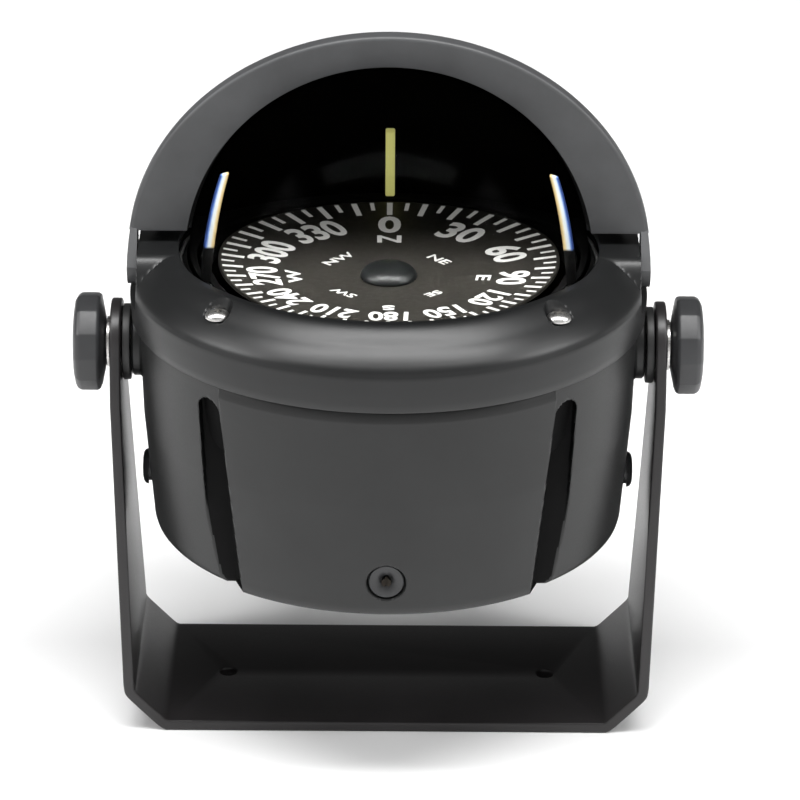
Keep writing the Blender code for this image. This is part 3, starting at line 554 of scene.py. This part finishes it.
def housing():
    """The tapered shell with its front panel, grooves and front port, its bosses and its bottom cover."""
    outer = [(0.0672, 0.1264), (0.0672, 0.1147), (0.0683, 0.1142), (0.06825, 0.1120)]
    heights = np.concatenate([np.arange(0.1114, 0.0710, -0.0006), np.arange(0.0710, 0.0575, -0.0004)])
    outer += [(float(np.interp(h, WALL_HEIGHTS, WALL_RADII)), float(h)) for h in heights]
    outer += [(0.06490, 0.0569), (0.06465, 0.0560), (0.0642, 0.0554), (0.0637, 0.0550)]
    inner = [(0.0603, 0.0550), (0.0603, 0.0579), (0.0520, 0.0579), (0.0520, 0.0601)]
    inner += [(0.0616, 0.0604), (0.0645, 0.0870), (0.0649, 0.1120), (0.0553, 0.1185), (0.0553, 0.1264)]
    outside = len(outer)

    def groove(across, z):
        """How far inside a side groove's outline each point lies, from 0 to 1, and the groove's floor."""
        lean = panel_edge(z) / PANEL_HALF_WIDTHS[1]
        inner_edge = GROOVE_INNER * lean
        outer_edge = GROOVE_OUTER * (1 + (lean - 1) * GROOVE_OUTER_LEAN)
        middle, half = (inner_edge + outer_edge) / 2, (outer_edge - inner_edge) / 2
        crown = 0.1098 - 0.0026 * ((across - middle) / half) ** 2
        held = step(across - inner_edge, 0.0006) * step(outer_edge - across, 0.0009) * step(crown - z, 0.0010)
        return held, np.interp(z, GROOVE_HEIGHTS, GROOVE_FLOORS)

    def shape(points):
        """Leans the wall's columns, lifts the panel, and sinks the grooves and the port."""
        p = points[:, :outside]
        x, y, z = p[..., 0], p[..., 1], p[..., 2]
        front = y < 0
        lean = panel_edge(z) / PANEL_HALF_WIDTHS[1]
        share = np.interp(np.abs(x), [0.0450, GROOVE_OUTER, 0.0580], [1.0, GROOVE_OUTER_LEAN, 0.0])
        radius = np.hypot(x, y)
        x = np.where(front, x * (1 + (lean - 1) * share), x)
        y = np.where(front, -np.sqrt(np.maximum(radius ** 2 - x ** 2, 0)), y)
        across = np.abs(x)
        on_panel = step(panel_edge(z) - across, 0.0006) * step(0.1143 - z, 0.0006) * front
        radius = np.hypot(x, y)
        grow = 1 + PANEL_RISE * on_panel / radius
        x, y = x * grow, y * grow
        z = z - 0.0007 * on_panel * step(0.0572 - z, 0.0012)
        inside, floor = groove(across, z)
        y = np.where(front, y + (np.maximum(y, floor) - y) * inside, y)
        away = np.hypot(x, z - END_BUSH_Z)
        y = y + PORT_DEPTH * step(PORT_RADIUS - away, 0.0007) * front
        points[:, :outside] = np.stack([x, y, z], axis=-1)
        back = points[:, outside:]
        inside, floor = groove(np.abs(back[..., 0]), back[..., 2])
        lining = np.maximum(back[..., 1], floor + 0.0015)
        back[..., 1] = np.where(back[..., 1] < 0, back[..., 1] * (1 - inside) + lining * inside, back[..., 1])
        return points

    fine = np.radians(np.arange(-62, 62, 0.3)) - math.pi / 2
    coarse = np.radians(np.arange(62, 298, 2.0)) - math.pi / 2
    shell = ring_surface("housing_body", outer + inner, np.concatenate([fine, coarse]), shape, 38)
    piece(shell, "housing", "housing_plastic", "housing_plastic", "housing_shell")
    # Painted shade: the faces sunk into the side grooves take a near-black matte copy of the housing plastic,
    # standing in for the shadow deep in the grooves.
    shell.data.materials.append(LOOKS["groove_painted_shade"])
    for face in shell.data.polygons:
        x, y, z = face.center
        skin = np.interp(z, [0.0545, 0.0569] + WALL_HEIGHTS, [0.0634, 0.0649] + WALL_RADII)
        sunk = skin - math.hypot(x, y)
        if y < 0 and 0.0360 < abs(x) < 0.0520 and z < 0.1110 and sunk > 0.0004:
            face.material_index = 1
    for name, sign in SIDES:
        profile = [(0.0055, 0.0700), (0.0060, 0.0703), (0.0086, 0.0703), (0.0093, 0.0697), (0.0093, 0.0680)]
        profile += [(0.0100, 0.0672), (0.0112, 0.0660), (0.0112, 0.0620), (0.0055, 0.0620)]
        boss = lathe(f"pivot_boss_{name}", profile, 72, along(sign))
        piece(boss, "housing", "housing_plastic", "housing_plastic")
    dish = [(0, 0.0560), (0.0538, 0.0560), (0.0547, 0.0558), (0.0558, 0.0553), (0.0594, 0.0552)]
    dish += [(0.0600, 0.0555), (0.0600, 0.0576), (0, 0.0576)]
    cover = lathe("bottom_plate", dish, 128)
    piece(cover, "housing", "housing_plastic", "housing_plastic", "bottom_cover")


# ---------------------------------------------------------------- bezel


def bezel():
    """The crowned ring with its ledges, cheek notches and screw recesses, its screws and its gasket."""
    crown = [(0.0575, 0.1344), (0.0600, 0.1341), (0.0625, 0.1331), (0.0647, 0.1317), (0.0668, 0.1301)]
    crown += [(0.0686, 0.1284), (0.0699, 0.1268), (0.0706, 0.1250)]
    crown = flowing(crown, 8) + [(0.0706, z) for z in (0.1240, 0.1230, 0.12175, 0.12145, 0.1200)]
    crown += [(0.0704, 0.1175), (0.07022, 0.1154), (0.0699, 0.1150)]
    under = [(0.0680, 0.1150), (0.0676, 0.1154), (0.0676, 0.1267), (0.0593, 0.1267), (0.0593, 0.1329)]
    under += [(0.0572, 0.1329), (0.0572, 0.1341)]
    top = len(crown)
    screws = [Vector(p) for p in arc(SCREW_CIRCLE, 45, 315, 3)]

    def shape(points):
        """Levels the ledges, lifts the front lip, notches the sides and sinks the screw recesses."""
        p = points[:, :top]
        x, y, z = p[..., 0].copy(), p[..., 1].copy(), p[..., 2].copy()
        beside = np.abs(y)
        fall = np.clip((beside - 0.0088) / 0.0060, 0, 1)
        ledge = 0.1344 - 0.0075 * fall ** 2
        level = (np.abs(x) <= CHEEK_FLAT) & (beside < 0.0148) & (z > 0.1270)
        z = np.where(level, np.maximum(z, ledge), z)
        forward = np.clip(-y / np.maximum(np.hypot(x, y), 1e-6), 0, 1)
        z = z + 0.0013 * step(0.0655 - np.hypot(x, y), 0.0070) * step(forward - 0.30, 0.4) * (z > 0.1300)
        notch = (beside < 0.021) & (p[..., 2] > 0.1216)
        x = np.where(notch, np.sign(x) * np.minimum(np.abs(x), CHEEK_FLAT), x)
        for centre in screws:
            away = np.hypot(x - centre.x, y - centre.y)
            sunk = step(RECESS_RADIUS - away, 0.0006)
            z = np.where(z > RECESS_FLOOR_Z, z + (RECESS_FLOOR_Z - z) * sunk, z)
        points[:, :top] = np.stack([x, y, z], axis=-1)
        return points

    angles = np.radians(np.arange(0, 360, 0.4))
    ring = ring_surface("bezel_ring", crown + under, angles, shape, 34)
    piece(ring, "housing", "bezel_plastic", "bezel_plastic", "bezel")
    for index, centre in enumerate(screws):
        profile = [(0, 0.1334), (0.0012, 0.13335), (0.0022, 0.1330), (0.0029, 0.1325), (0.00325, 0.1319)]
        profile += [(0.00325, 0.1314), (0.00305, 0.1312), (0.00125, 0.1312), (0.00125, 0.1180), (0, 0.1180)]
        place = Matrix.Translation((centre.x, centre.y, 0))
        head = lathe(f"bezel_screw_head_{index + 1}", profile, 40, place)
        turn = math.radians(20 + 47 * index)
        for quarter in range(2):
            blade = [(-0.0018, -0.0003), (0.0018, -0.0003), (0.0018, 0.0003), (-0.0018, 0.0003)]
            slot = solid_outline("slot", blade, 0.1325, 0.1340, "XY")
            slot.data.transform(place @ Matrix.Rotation(turn + quarter * math.pi / 2, 4, "Z"))
            combine(head, "DIFFERENCE", slot)
        smooth(head)
        piece(head, "housing", "stainless", "stainless", f"bezel_screw_{index + 1}")
    section = softened([(0.0590, 0.1326), (0.0590, 0.1319), (0.0577, 0.1319), (0.0577, 0.1326)], 0.0002)
    gasket = lathe("bezel_gasket_ring", section, 128)
    piece(gasket, "housing", "rubber_black", "rubber_black", "bezel_gasket")


# ---------------------------------------------------------------- dome and bowl


def dome_and_bowl():
    """The clear dome with its clamped flange, and the black bowl that closes the sphere below it."""
    centre = (0, SPHERE_Z)
    outer = arc(DOME_OUTER, 90, 3.0, 60, centre)
    inner = arc(DOME_INNER, 2, 90, 60, centre)
    outer[0] = (0, outer[0][1])
    inner[-1] = (0, inner[-1][1])
    flange = [(0.0550, 0.1317), (0.0588, 0.1316), (0.0590, 0.1314), (0.0590, 0.1295), (DOME_INNER, 0.1295)]
    glass = lathe("dome_window", outer + flange + inner, 160)
    piece(glass, "housing", "clear_acrylic", "clear_acrylic", "dome")
    line_inside(glass, "dome_inner", (0, 0, SPHERE_Z), DOME_INNER + 0.0005)
    low = -math.degrees(math.acos(NECK_INNER / DOME_INNER))
    neck = -math.degrees(math.acos(NECK_OUTER / BOWL_OUTER))
    profile = [(0.0590, 0.1292), (0.0590, 0.1267)] + arc(BOWL_OUTER, -3.1, neck, 24, centre)
    profile += [(NECK_OUTER, NECK_Z), (NECK_INNER, NECK_Z)] + arc(DOME_INNER, low, -0.44, 30, centre)
    profile += [(0.0560, 0.1292), (0.0560, 0.1278), (0.0578, 0.1278), (0.0578, 0.1292)]
    bowl = lathe("bowl_shell", profile, 128)
    piece(bowl, "housing", "bowl_plastic", "bowl_plastic", "bowl")


# ---------------------------------------------------------------- sun shield


def rim(angle, inset):
    """The oval rim's radius at an angle, grown by an inset that is negative inside it."""
    return 1 / math.hypot(math.cos(angle) / (RIM_HALF_WIDTH + inset), math.sin(angle) / (RIM_HEIGHT + inset))


def sun_shield():
    """The flat oval rim and the thin shell behind the dome, in one lofted skin, with its pivot cheeks."""
    count = 216
    centre = (0, 0, SPHERE_Z)
    lip = [(0.0, -0.0012), (0.00005, -0.0009), (0.0003, -0.0004), (0.0007, -0.0001), (0.0012, 0.0)]
    lip += [(0.0040, 0.0), (0.0048, -0.0001), (0.0054, -0.0005), (RIM_BACK, -0.0012)]
    sections = [(depth, lambda a, i=inset: rim(a, i)) for depth, inset in lip]
    for k in range(1, 6):
        t = k / 6
        depth = RIM_BACK + (SHELL_FRONT - RIM_BACK) * t
        sphere = math.sqrt(SHIELD_OUTER ** 2 - depth ** 2)
        blend = t * t * (3 - 2 * t) * 0.5 + 0.5 * t
        sections.append((depth, lambda a, s=sphere, b=blend: rim(a, -0.0012) * (1 - b) + s * b))
    shell_start = math.asin(SHELL_FRONT / SHIELD_OUTER)
    for k in range(22):
        turn = shell_start + (math.pi / 2 - shell_start) * k / 22
        sections.append((SHIELD_OUTER * math.sin(turn), lambda a, r=SHIELD_OUTER * math.cos(turn): r))
    inside = []
    for k in range(30):
        turn = math.pi / 2 * k / 30
        edge = 0.0004 if k == 0 else 0.0
        inside.append((SHIELD_INNER * math.sin(turn), lambda a, r=SHIELD_INNER * math.cos(turn) + edge: r))
    bm = bmesh.new()

    def loop(section):
        """One closed row of points at a depth, its radius a function of the angle."""
        depth, radius = section
        return [
            bm.verts.new((radius(a) * math.cos(a), depth, radius(a) * math.sin(a)))
            for a in (2 * math.pi * i / count for i in range(count))
        ]

    outer = [loop(s) for s in sections]
    inner = [loop(s) for s in inside]
    for first, second in list(zip(outer, outer[1:])) + list(zip(inner, inner[1:])) + [(outer[0], inner[0])]:
        for i in range(count):
            j = (i + 1) % count
            bm.faces.new((first[i], first[j], second[j], second[i]))
    for last, tip in ((outer[-1], SHIELD_OUTER), (inner[-1], SHIELD_INNER)):
        pole = bm.verts.new((0, tip, 0))
        for i in range(count):
            bm.faces.new((last[i], last[(i + 1) % count], pole))
    bmesh.ops.recalc_face_normals(bm, faces=bm.faces)
    mesh = bpy.data.meshes.new("shield_body")
    bm.to_mesh(mesh)
    bm.free()
    shield = new_object("shield_body", mesh)
    foot = [(-0.010, 0.0082), (0.0080, 0.0082), (0.0100, 0.0051), (0.080, 0.0051)]
    foot += [(0.080, -0.090), (-0.010, -0.090)]
    combine(shield, "DIFFERENCE", solid_outline("foot", foot, -0.1, 0.1, "YZ"))
    for _, sign in SIDES:
        heights = (0.0, 0.003, 0.006, 0.009, 0.012)
        edge = [(RIM_HALF_WIDTH * math.sqrt(1 - (h / RIM_HEIGHT) ** 2) - 0.0002, h) for h in heights]
        front = [(0.0685, -0.008), (RIM_HALF_WIDTH - 0.0002, -0.008)] + edge + [(0.0685, 0.012)]
        cheek = solid_outline("cheek", [(sign * x, z) for x, z in front], -0.009, 0.009, "XZ")
        lug = arc(0.0068, 180, 360, 36) + [(0.0056, 0.0125), (0.0003, 0.0125), (0.0003, 0.0092)]
        combine(cheek, "INTERSECT", solid_outline("lug", lug, -0.08, 0.08, "YZ"))
        combine(shield, "UNION", cheek)
        bore = [(0, 0.075), (0.0023, 0.075), (0.0023, 0.066), (0, 0.066)]
        hole = lathe("hole", bore, 32, along(sign, (0, 0, 0)))
        combine(shield, "DIFFERENCE", hole)
    shield.data.transform(Matrix.Translation(centre))
    smooth(shield, 34)
    piece(shield, "shield", "shield_plastic", "shield_plastic", "sun_shield")
    # Painted shade: the shield's inner faces take a near-black matte copy of its plastic, standing in for the
    # shade behind the dome.
    line_inside(shield, "shield_painted_shade", centre, SHIELD_INNER + 0.0008)
    for name, sign in SIDES:
        profile = [(0, 0.0712), (0.0014, 0.0712), (0.0020, 0.0709), (0.0020, 0.0630), (0, 0.0630)]
        pin = lathe(f"shield_pivot_{name}", profile, 32, along(sign, centre))
        piece(pin, "housing", "stainless", "stainless", f"shield_pin_{name}")


# ---------------------------------------------------------------- gimbals and card


def post(name, inner, outer, half_width, top, azimuth):
    """A thin upright post on the gimbal ring, between two radii, with its edges eased."""
    foot = [(inner, -half_width), (outer, -half_width), (outer, half_width), (inner, half_width)]
    bar = solid_outline(name, foot, LUBBER_FOOT_Z, top, "XY")
    bar.data.transform(Matrix.Rotation(azimuth, 4, "Z"))
    return round_edges(bar, 0.00022, 40, 2)


def gimbals():
    """The gimbal ring and the three lubber lines that stand on it."""
    low, high = GIMBAL_Z - 0.0014, GIMBAL_Z + 0.0014
    section = softened([(0.0393, high), (0.0393, low), (0.0369, low), (0.0369, high)], 0.0005)
    ring = lathe("gimbal_hoop", section, 144)
    piece(ring, "roll_ring", "gimbal_plastic", "gimbal_plastic", "gimbal_ring")
    line = post("lubber_line", 0.0374, 0.0386, half_width=0.0007, top=0.1349, azimuth=math.pi / 2)
    piece(line, "roll_ring", "lubber_yellow", "lubber_yellow", "lubber_main")
    for name, azimuth in (("left", math.pi), ("right", 0.0)):
        ends = (SIDE_LUBBER_INNER, SIDE_LUBBER_OUTER)
        line = post(f"side_lubber_{name}", *ends, half_width=0.00065, top=0.1509, azimuth=azimuth)
        piece(line, "roll_ring", "lubber_white", "lubber_white", f"lubber_{name}")


def card():
    """The card with its printed degree marks, numerals and letters, and the hub cap."""
    under = 0.1252
    section = [(CARD_RADIUS, CARD_TOP_Z), (CARD_RADIUS, under), (0.0053, under), (0.0053, CARD_TOP_Z)]
    disc = lathe("card_disc", softened(section, 0.00015), 160)
    piece(disc, "card", "card_black", "card_black", "compass_card")
    cap = [(0, 0.1289), (0.0024, 0.1287), (0.0042, 0.1280), (0.0052, 0.1271), (0.0055, 0.1264)]
    cap = flowing(cap, 5) + [(0.0055, 0.1263), (0.0050, 0.1263), (0.0050, 0.1223), (0.0022, 0.1223)]
    hub = lathe("card_boss", cap + [(0.0022, 0.1256), (0, 0.1256)], 96)
    piece(hub, "card", "hub_black", "hub_black", "card_hub")
    bm = bmesh.new()

    def turned_to(degrees):
        """Clockwise about the card's axis, as the degrees run."""
        return Matrix.Rotation(-math.radians(degrees), 4, "Z")

    for degrees in range(0, 360, 5):
        length, half = (0.0042, 0.00044) if degrees % 10 == 0 else (0.0025, 0.00032)
        made = bmesh.ops.create_cube(bm, size=1.0)["verts"]
        bmesh.ops.scale(bm, vec=(half * 2, length, PRINT_THICKNESS), verts=made)
        bmesh.ops.translate(bm, vec=(0, CARD_RADIUS - 0.0006 - length / 2, PRINT_Z), verts=made)
        bmesh.ops.transform(bm, matrix=turned_to(degrees), verts=made)

    def lettering(text, weight):
        """A word's mesh, at the typeface's own size."""
        curve = bpy.data.curves.new("print", "FONT")
        curve.body = text
        curve.extrude = 0.05
        curve.offset = weight
        curve.resolution_u = 4
        obj = new_object("print", curve)
        bpy.context.view_layer.update()
        graph = bpy.context.evaluated_depsgraph_get()
        mesh = bpy.data.meshes.new_from_object(obj.evaluated_get(graph))
        bpy.data.objects.remove(obj)
        return mesh

    def extent(mesh):
        """A mesh's lowest and highest corners."""
        low = [min(v.co[i] for v in mesh.vertices) for i in range(3)]
        high = [max(v.co[i] for v in mesh.vertices) for i in range(3)]
        return Vector(low), Vector(high)

    def letters(text, width, height, radius, degrees, weight):
        """Prints a word at a radius and a bearing, scaled so that a nought has this width and height."""
        low, high = extent(lettering("0", weight))
        grow = (width / (high.x - low.x), height / (high.y - low.y), PRINT_THICKNESS / (high.z - low.z))
        mesh = lettering(text, weight)
        low, high = extent(mesh)
        middle = (low + high) / 2
        place = turned_to(degrees) @ Matrix.Translation((0, radius, PRINT_Z)) @ Matrix.Diagonal((*grow, 1))
        mesh.transform(place @ Matrix.Translation(-middle))
        bm.from_mesh(mesh)
        bpy.data.meshes.remove(mesh)

    for degrees in range(0, 360, 30):
        width = 0.0038 if degrees < 100 else 0.0033
        letters(str(degrees), width, height=0.0063, radius=0.0243, degrees=degrees, weight=0.026)
    for degrees, text in ((0, "N"), (90, "E"), (180, "S"), (270, "W")):
        letters(text, width=0.0030, height=0.0030, radius=0.0184, degrees=degrees, weight=0.02)
    for degrees, text in ((45, "NE"), (135, "SE"), (225, "SW"), (315, "NW")):
        letters(text, width=0.0019, height=0.0021, radius=0.0130, degrees=degrees, weight=0.012)
    mesh = bpy.data.meshes.new("card_marks")
    bm.to_mesh(mesh)
    bm.free()
    marks = new_object("card_marks", mesh)
    piece(marks, "card", "card_black", "white_print")


# ---------------------------------------------------------------- bracket and knobs


def bracket():
    """The U of plate with rounded ears and sloped lower corners, and the washers at each ear."""
    outer = [(0.0613, 0), (0.0629, 0.0007), (0.0721, 0.0102), (0.0728, 0.0120), (0.0760, 0.0920)]
    outer = softened(outer, 0.003, False, 4) + [(0.0760, 0.120)]
    inner = [(0.0730, 0.120), (0.0730, 0.0920)]
    turn = [(0.06985, 0.0128), (0.06935, 0.0117), (0.0613, 0.0034), (0.0602, 0.0030)]
    inner += softened(turn, 0.002, False, 4)
    half = outer + inner
    section = half + [(-x, z) for x, z in reversed(half)]
    plate = solid_outline("bracket_plate", section, -0.030, 0.030, "XZ")
    side = [(0.030, -0.005), (0.030, 0.014)] + arc(0.0120, 11, 169, 48, (0, PIVOT_Z))
    side += [(-0.030, 0.014), (-0.030, -0.005)]
    combine(plate, "INTERSECT", solid_outline("side", side, -0.1, 0.1, "YZ"))
    for _, sign in SIDES:
        bore = [(0, 0.02), (0.0024, 0.02), (0.0024, -0.02), (0, -0.02)]
        mount = lathe("mount", bore, 40, Matrix.Translation((sign * 0.045, 0, 0)))
        ear = lathe("ear", [(0, 0.09), (0.0035, 0.09), (0.0035, 0.06), (0, 0.06)], 40, along(sign))
        combine(plate, "DIFFERENCE", mount, ear)
    bm = bmesh.new()
    bm.from_mesh(plate.data)
    bmesh.ops.dissolve_limit(bm, angle_limit=math.radians(0.5), verts=bm.verts, edges=bm.edges)
    bm.to_mesh(plate.data)
    bm.free()
    round_edges(plate, 0.0006, 35, 3)
    piece(plate, "bracket", "bracket_plastic", "bracket_plastic", "bracket")
    for name, sign in SIDES:
        ring = softened([(0.0105, 0.0727), (0.0105, 0.0706), (0.0035, 0.0706), (0.0035, 0.0727)], 0.0004)
        washer = lathe(f"friction_disc_{name}", ring, 64, along(sign))
        piece(washer, "bracket", "nylon_washer", "nylon_washer", f"friction_washer_{name}")
        ring = softened([(0.0070, 0.0772), (0.0070, 0.0763), (0.0035, 0.0763), (0.0035, 0.0772)], 0.0002)
        washer = lathe(f"clamp_disc_{name}", ring, 64, along(sign))
        piece(washer, f"clamp_{name}", "stainless", "stainless", f"clamp_washer_{name}")


def knobs():
    """Twelve-sided clamp knobs with a coned back, and their studs, whose thread is drawn as rings."""
    face = [(0, 0), (0.0090, 0.0002), (0.0118, 0.0006), (0.0130, 0.0012), (0.0136, 0.0022)]
    back = [(0.0136, 0.0021), (0.0130, 0.0013), (0.0065, 0), (0.0036, 0), (0.0036, 0.0065), (0, 0.0065)]
    profile = [(radius, KNOB_THICKNESS - depth) for radius, depth in face] + back
    for name, sign in SIDES:
        grip = lathe(f"knob_grip_{name}", profile, 12, along(sign, (sign * 0.0775, 0, PIVOT_Z)), 10)
        round_edges(grip, 0.00035, 12, 2)
        smooth(grip, 14)
        piece(grip, f"knob_{name}", "knob_plastic", "knob_plastic", f"knob_{name}")
        thread = [(0, 0.0836)]
        rise = 0.0836
        while rise > 0.0632:
            thread += [(0.0030, rise - 0.0001), (0.0030, rise - 0.0003)]
            thread += [(0.0027, rise - 0.0005), (0.0027, rise - 0.0007)]
            rise -= THREAD_SPACING
        thread += [(0.0026, 0.0625), (0, 0.0625)]
        stud = lathe(f"knob_screw_{name}", thread, 32, along(sign), 25)
        piece(stud, f"knob_{name}", "stainless", "stainless", f"stud_{name}")


def small_parts():
    """The bushes and the cable inlet, rounder and finer than their solids."""
    bore = SHAFT_BORE
    head = [(bore, 0.0680), (0.0030, 0.0680), (0.0040, 0.0678), (0.0047, 0.0673), (0.0050, 0.0665)]
    head += [(0.0040, 0.0665), (0.0040, 0.0590), (bore, 0.0590)]
    places = {f"side_bush_{name}": along(sign, (0, 0, SIDE_BUSH_Z)) for name, sign in SIDES}
    places["rear_bush"] = fore_and_aft(1, (0, 0, END_BUSH_Z))
    for name, matrix in places.items():
        piece(lathe(f"{name}_plug", head, 48, matrix), "housing", "knob_plastic", "knob_plastic", name)
    face = [(bore, 0.0590), (bore, 0.0648), (0.0024, 0.0653), (0.0036, 0.0656), (0.0045, 0.0657)]
    face += [(0.0048, 0.0654), (0.0048, 0.0645), (0.0037, 0.0645), (0.0037, 0.0590)]
    plug = lathe("front_bush_plug", face, 48, fore_and_aft(-1, (0, 0, END_BUSH_Z)))
    piece(plug, "housing", "knob_plastic", "knob_plastic", "front_bush")
    gland = [(0.0022, 0.0703), (0.0030, 0.0705), (0.0042, 0.0703), (0.0054, 0.0698), (0.0060, 0.0690)]
    gland += [(0.0060, 0.0677), (0.0037, 0.0677), (0.0037, 0.0631), (0.0052, 0.0626), (0.0042, 0.0612)]
    gland += [(0.0022, 0.0612)]
    inlet = lathe("cable_inlet", gland, 48, fore_and_aft(1, (0, 0, 0.0850)))
    piece(inlet, "housing", "rubber_black", "rubber_black", "cable_grommet")


def dress_the_rest():
    """Every CAD node takes the detailed material of its slot, but the shafts are blackened."""
    for part in frame["record"]["subparts"]:
        node = frame["nodes"][part["node"]]
        hidden_shaft = part["node"].endswith("_shaft")
        look = "blackened_brass" if hidden_shaft else part["material_slot"]
        node.data.materials.clear()
        node.data.materials.append(LOOKS[look])


# ---------------------------------------------------------------- studio


def studio():
    """A pale floor, a white surround that dims behind and above, and three soft boxes."""
    floor_mesh = bpy.data.meshes.new("floor")
    reach = 3.0
    corners = [(-reach, -reach, 0), (reach, -reach, 0), (reach, reach, 0), (-reach, reach, 0)]
    floor_mesh.from_pydata(corners, [], [(0, 1, 2, 3)])
    floor = new_object("floor", floor_mesh)
    mat, tree, shader, coords = shader_nodes("floor_pale")
    paint = tones(tree, noise(tree, coords, 3), [(0.3, (0.86, 0.86, 0.86)), (0.7, (0.88, 0.88, 0.88))])
    tree.links.new(paint, shader.inputs["Base Color"])
    shader.inputs["Roughness"].default_value = 0.7
    floor_mesh.materials.append(mat)
    world = bpy.data.worlds.new("studio")
    bpy.context.scene.world = world
    world.use_nodes = True
    tree = world.node_tree
    towards = tree.nodes.new("ShaderNodeSeparateXYZ")
    tree.links.new(tree.nodes.new("ShaderNodeTexCoord").outputs["Generated"], towards.inputs[0])
    behind = spread(tree, towards.outputs["Y"], 1.0, 0.18, from_low=-0.35, from_high=0.45)
    height = spread(tree, towards.outputs["Z"], 1.0, 0.35, from_low=0.05, from_high=0.42)
    sky = tree.nodes.new("ShaderNodeMath")
    sky.operation = "MULTIPLY"
    tree.links.new(behind, sky.inputs[0])
    tree.links.new(height, sky.inputs[1])
    tree.links.new(sky.outputs[0], tree.nodes["Background"].inputs["Strength"])
    tree.nodes["Background"].inputs["Color"].default_value = (1, 1, 1, 1)
    bpy.context.scene.view_settings.view_transform = "Standard"

    def softbox(name, at, aim, size, power):
        """A rectangular area lamp that faces a point."""
        lamp = bpy.data.lights.new(name, "AREA")
        lamp.shape = "RECTANGLE"
        lamp.size, lamp.size_y = size
        lamp.energy = power
        obj = new_object(name, lamp)
        obj.location = at
        obj.rotation_euler = (Vector(aim) - Vector(at)).to_track_quat("-Z", "Y").to_euler()

    softbox("overhead", at=(0, -0.26, 1.25), aim=(0, 0, 0.12), size=(1.5, 0.30), power=24)
    for name, sign in SIDES:
        softbox(name, at=(sign * 1.4, -0.3, 1.0), aim=(0, 0, 0.1), size=(0.7, 0.7), power=12)


def camera():
    """A long lens that looks down at the front, rolled very slightly."""
    data = bpy.data.cameras.new("camera")
    data.lens = CAMERA_LENS
    data.sensor_width = 36
    data.clip_end = 20
    obj = new_object("camera", data)
    aim = Vector(CAMERA_AIM)
    tilt = math.radians(CAMERA_TILT)
    obj.location = aim + Vector((0, -math.cos(tilt), math.sin(tilt))) * CAMERA_DISTANCE
    look = (aim - obj.location).to_track_quat("-Z", "Y").to_matrix().to_4x4()
    roll = Matrix.Rotation(math.radians(CAMERA_ROLL), 4, "Z")
    obj.matrix_world = Matrix.Translation(obj.location) @ look @ roll
    bpy.context.scene.camera = obj


housing()
bezel()
dome_and_bowl()
sun_shield()
gimbals()
card()
bracket()
knobs()
small_parts()
dress_the_rest()
studio()
camera()
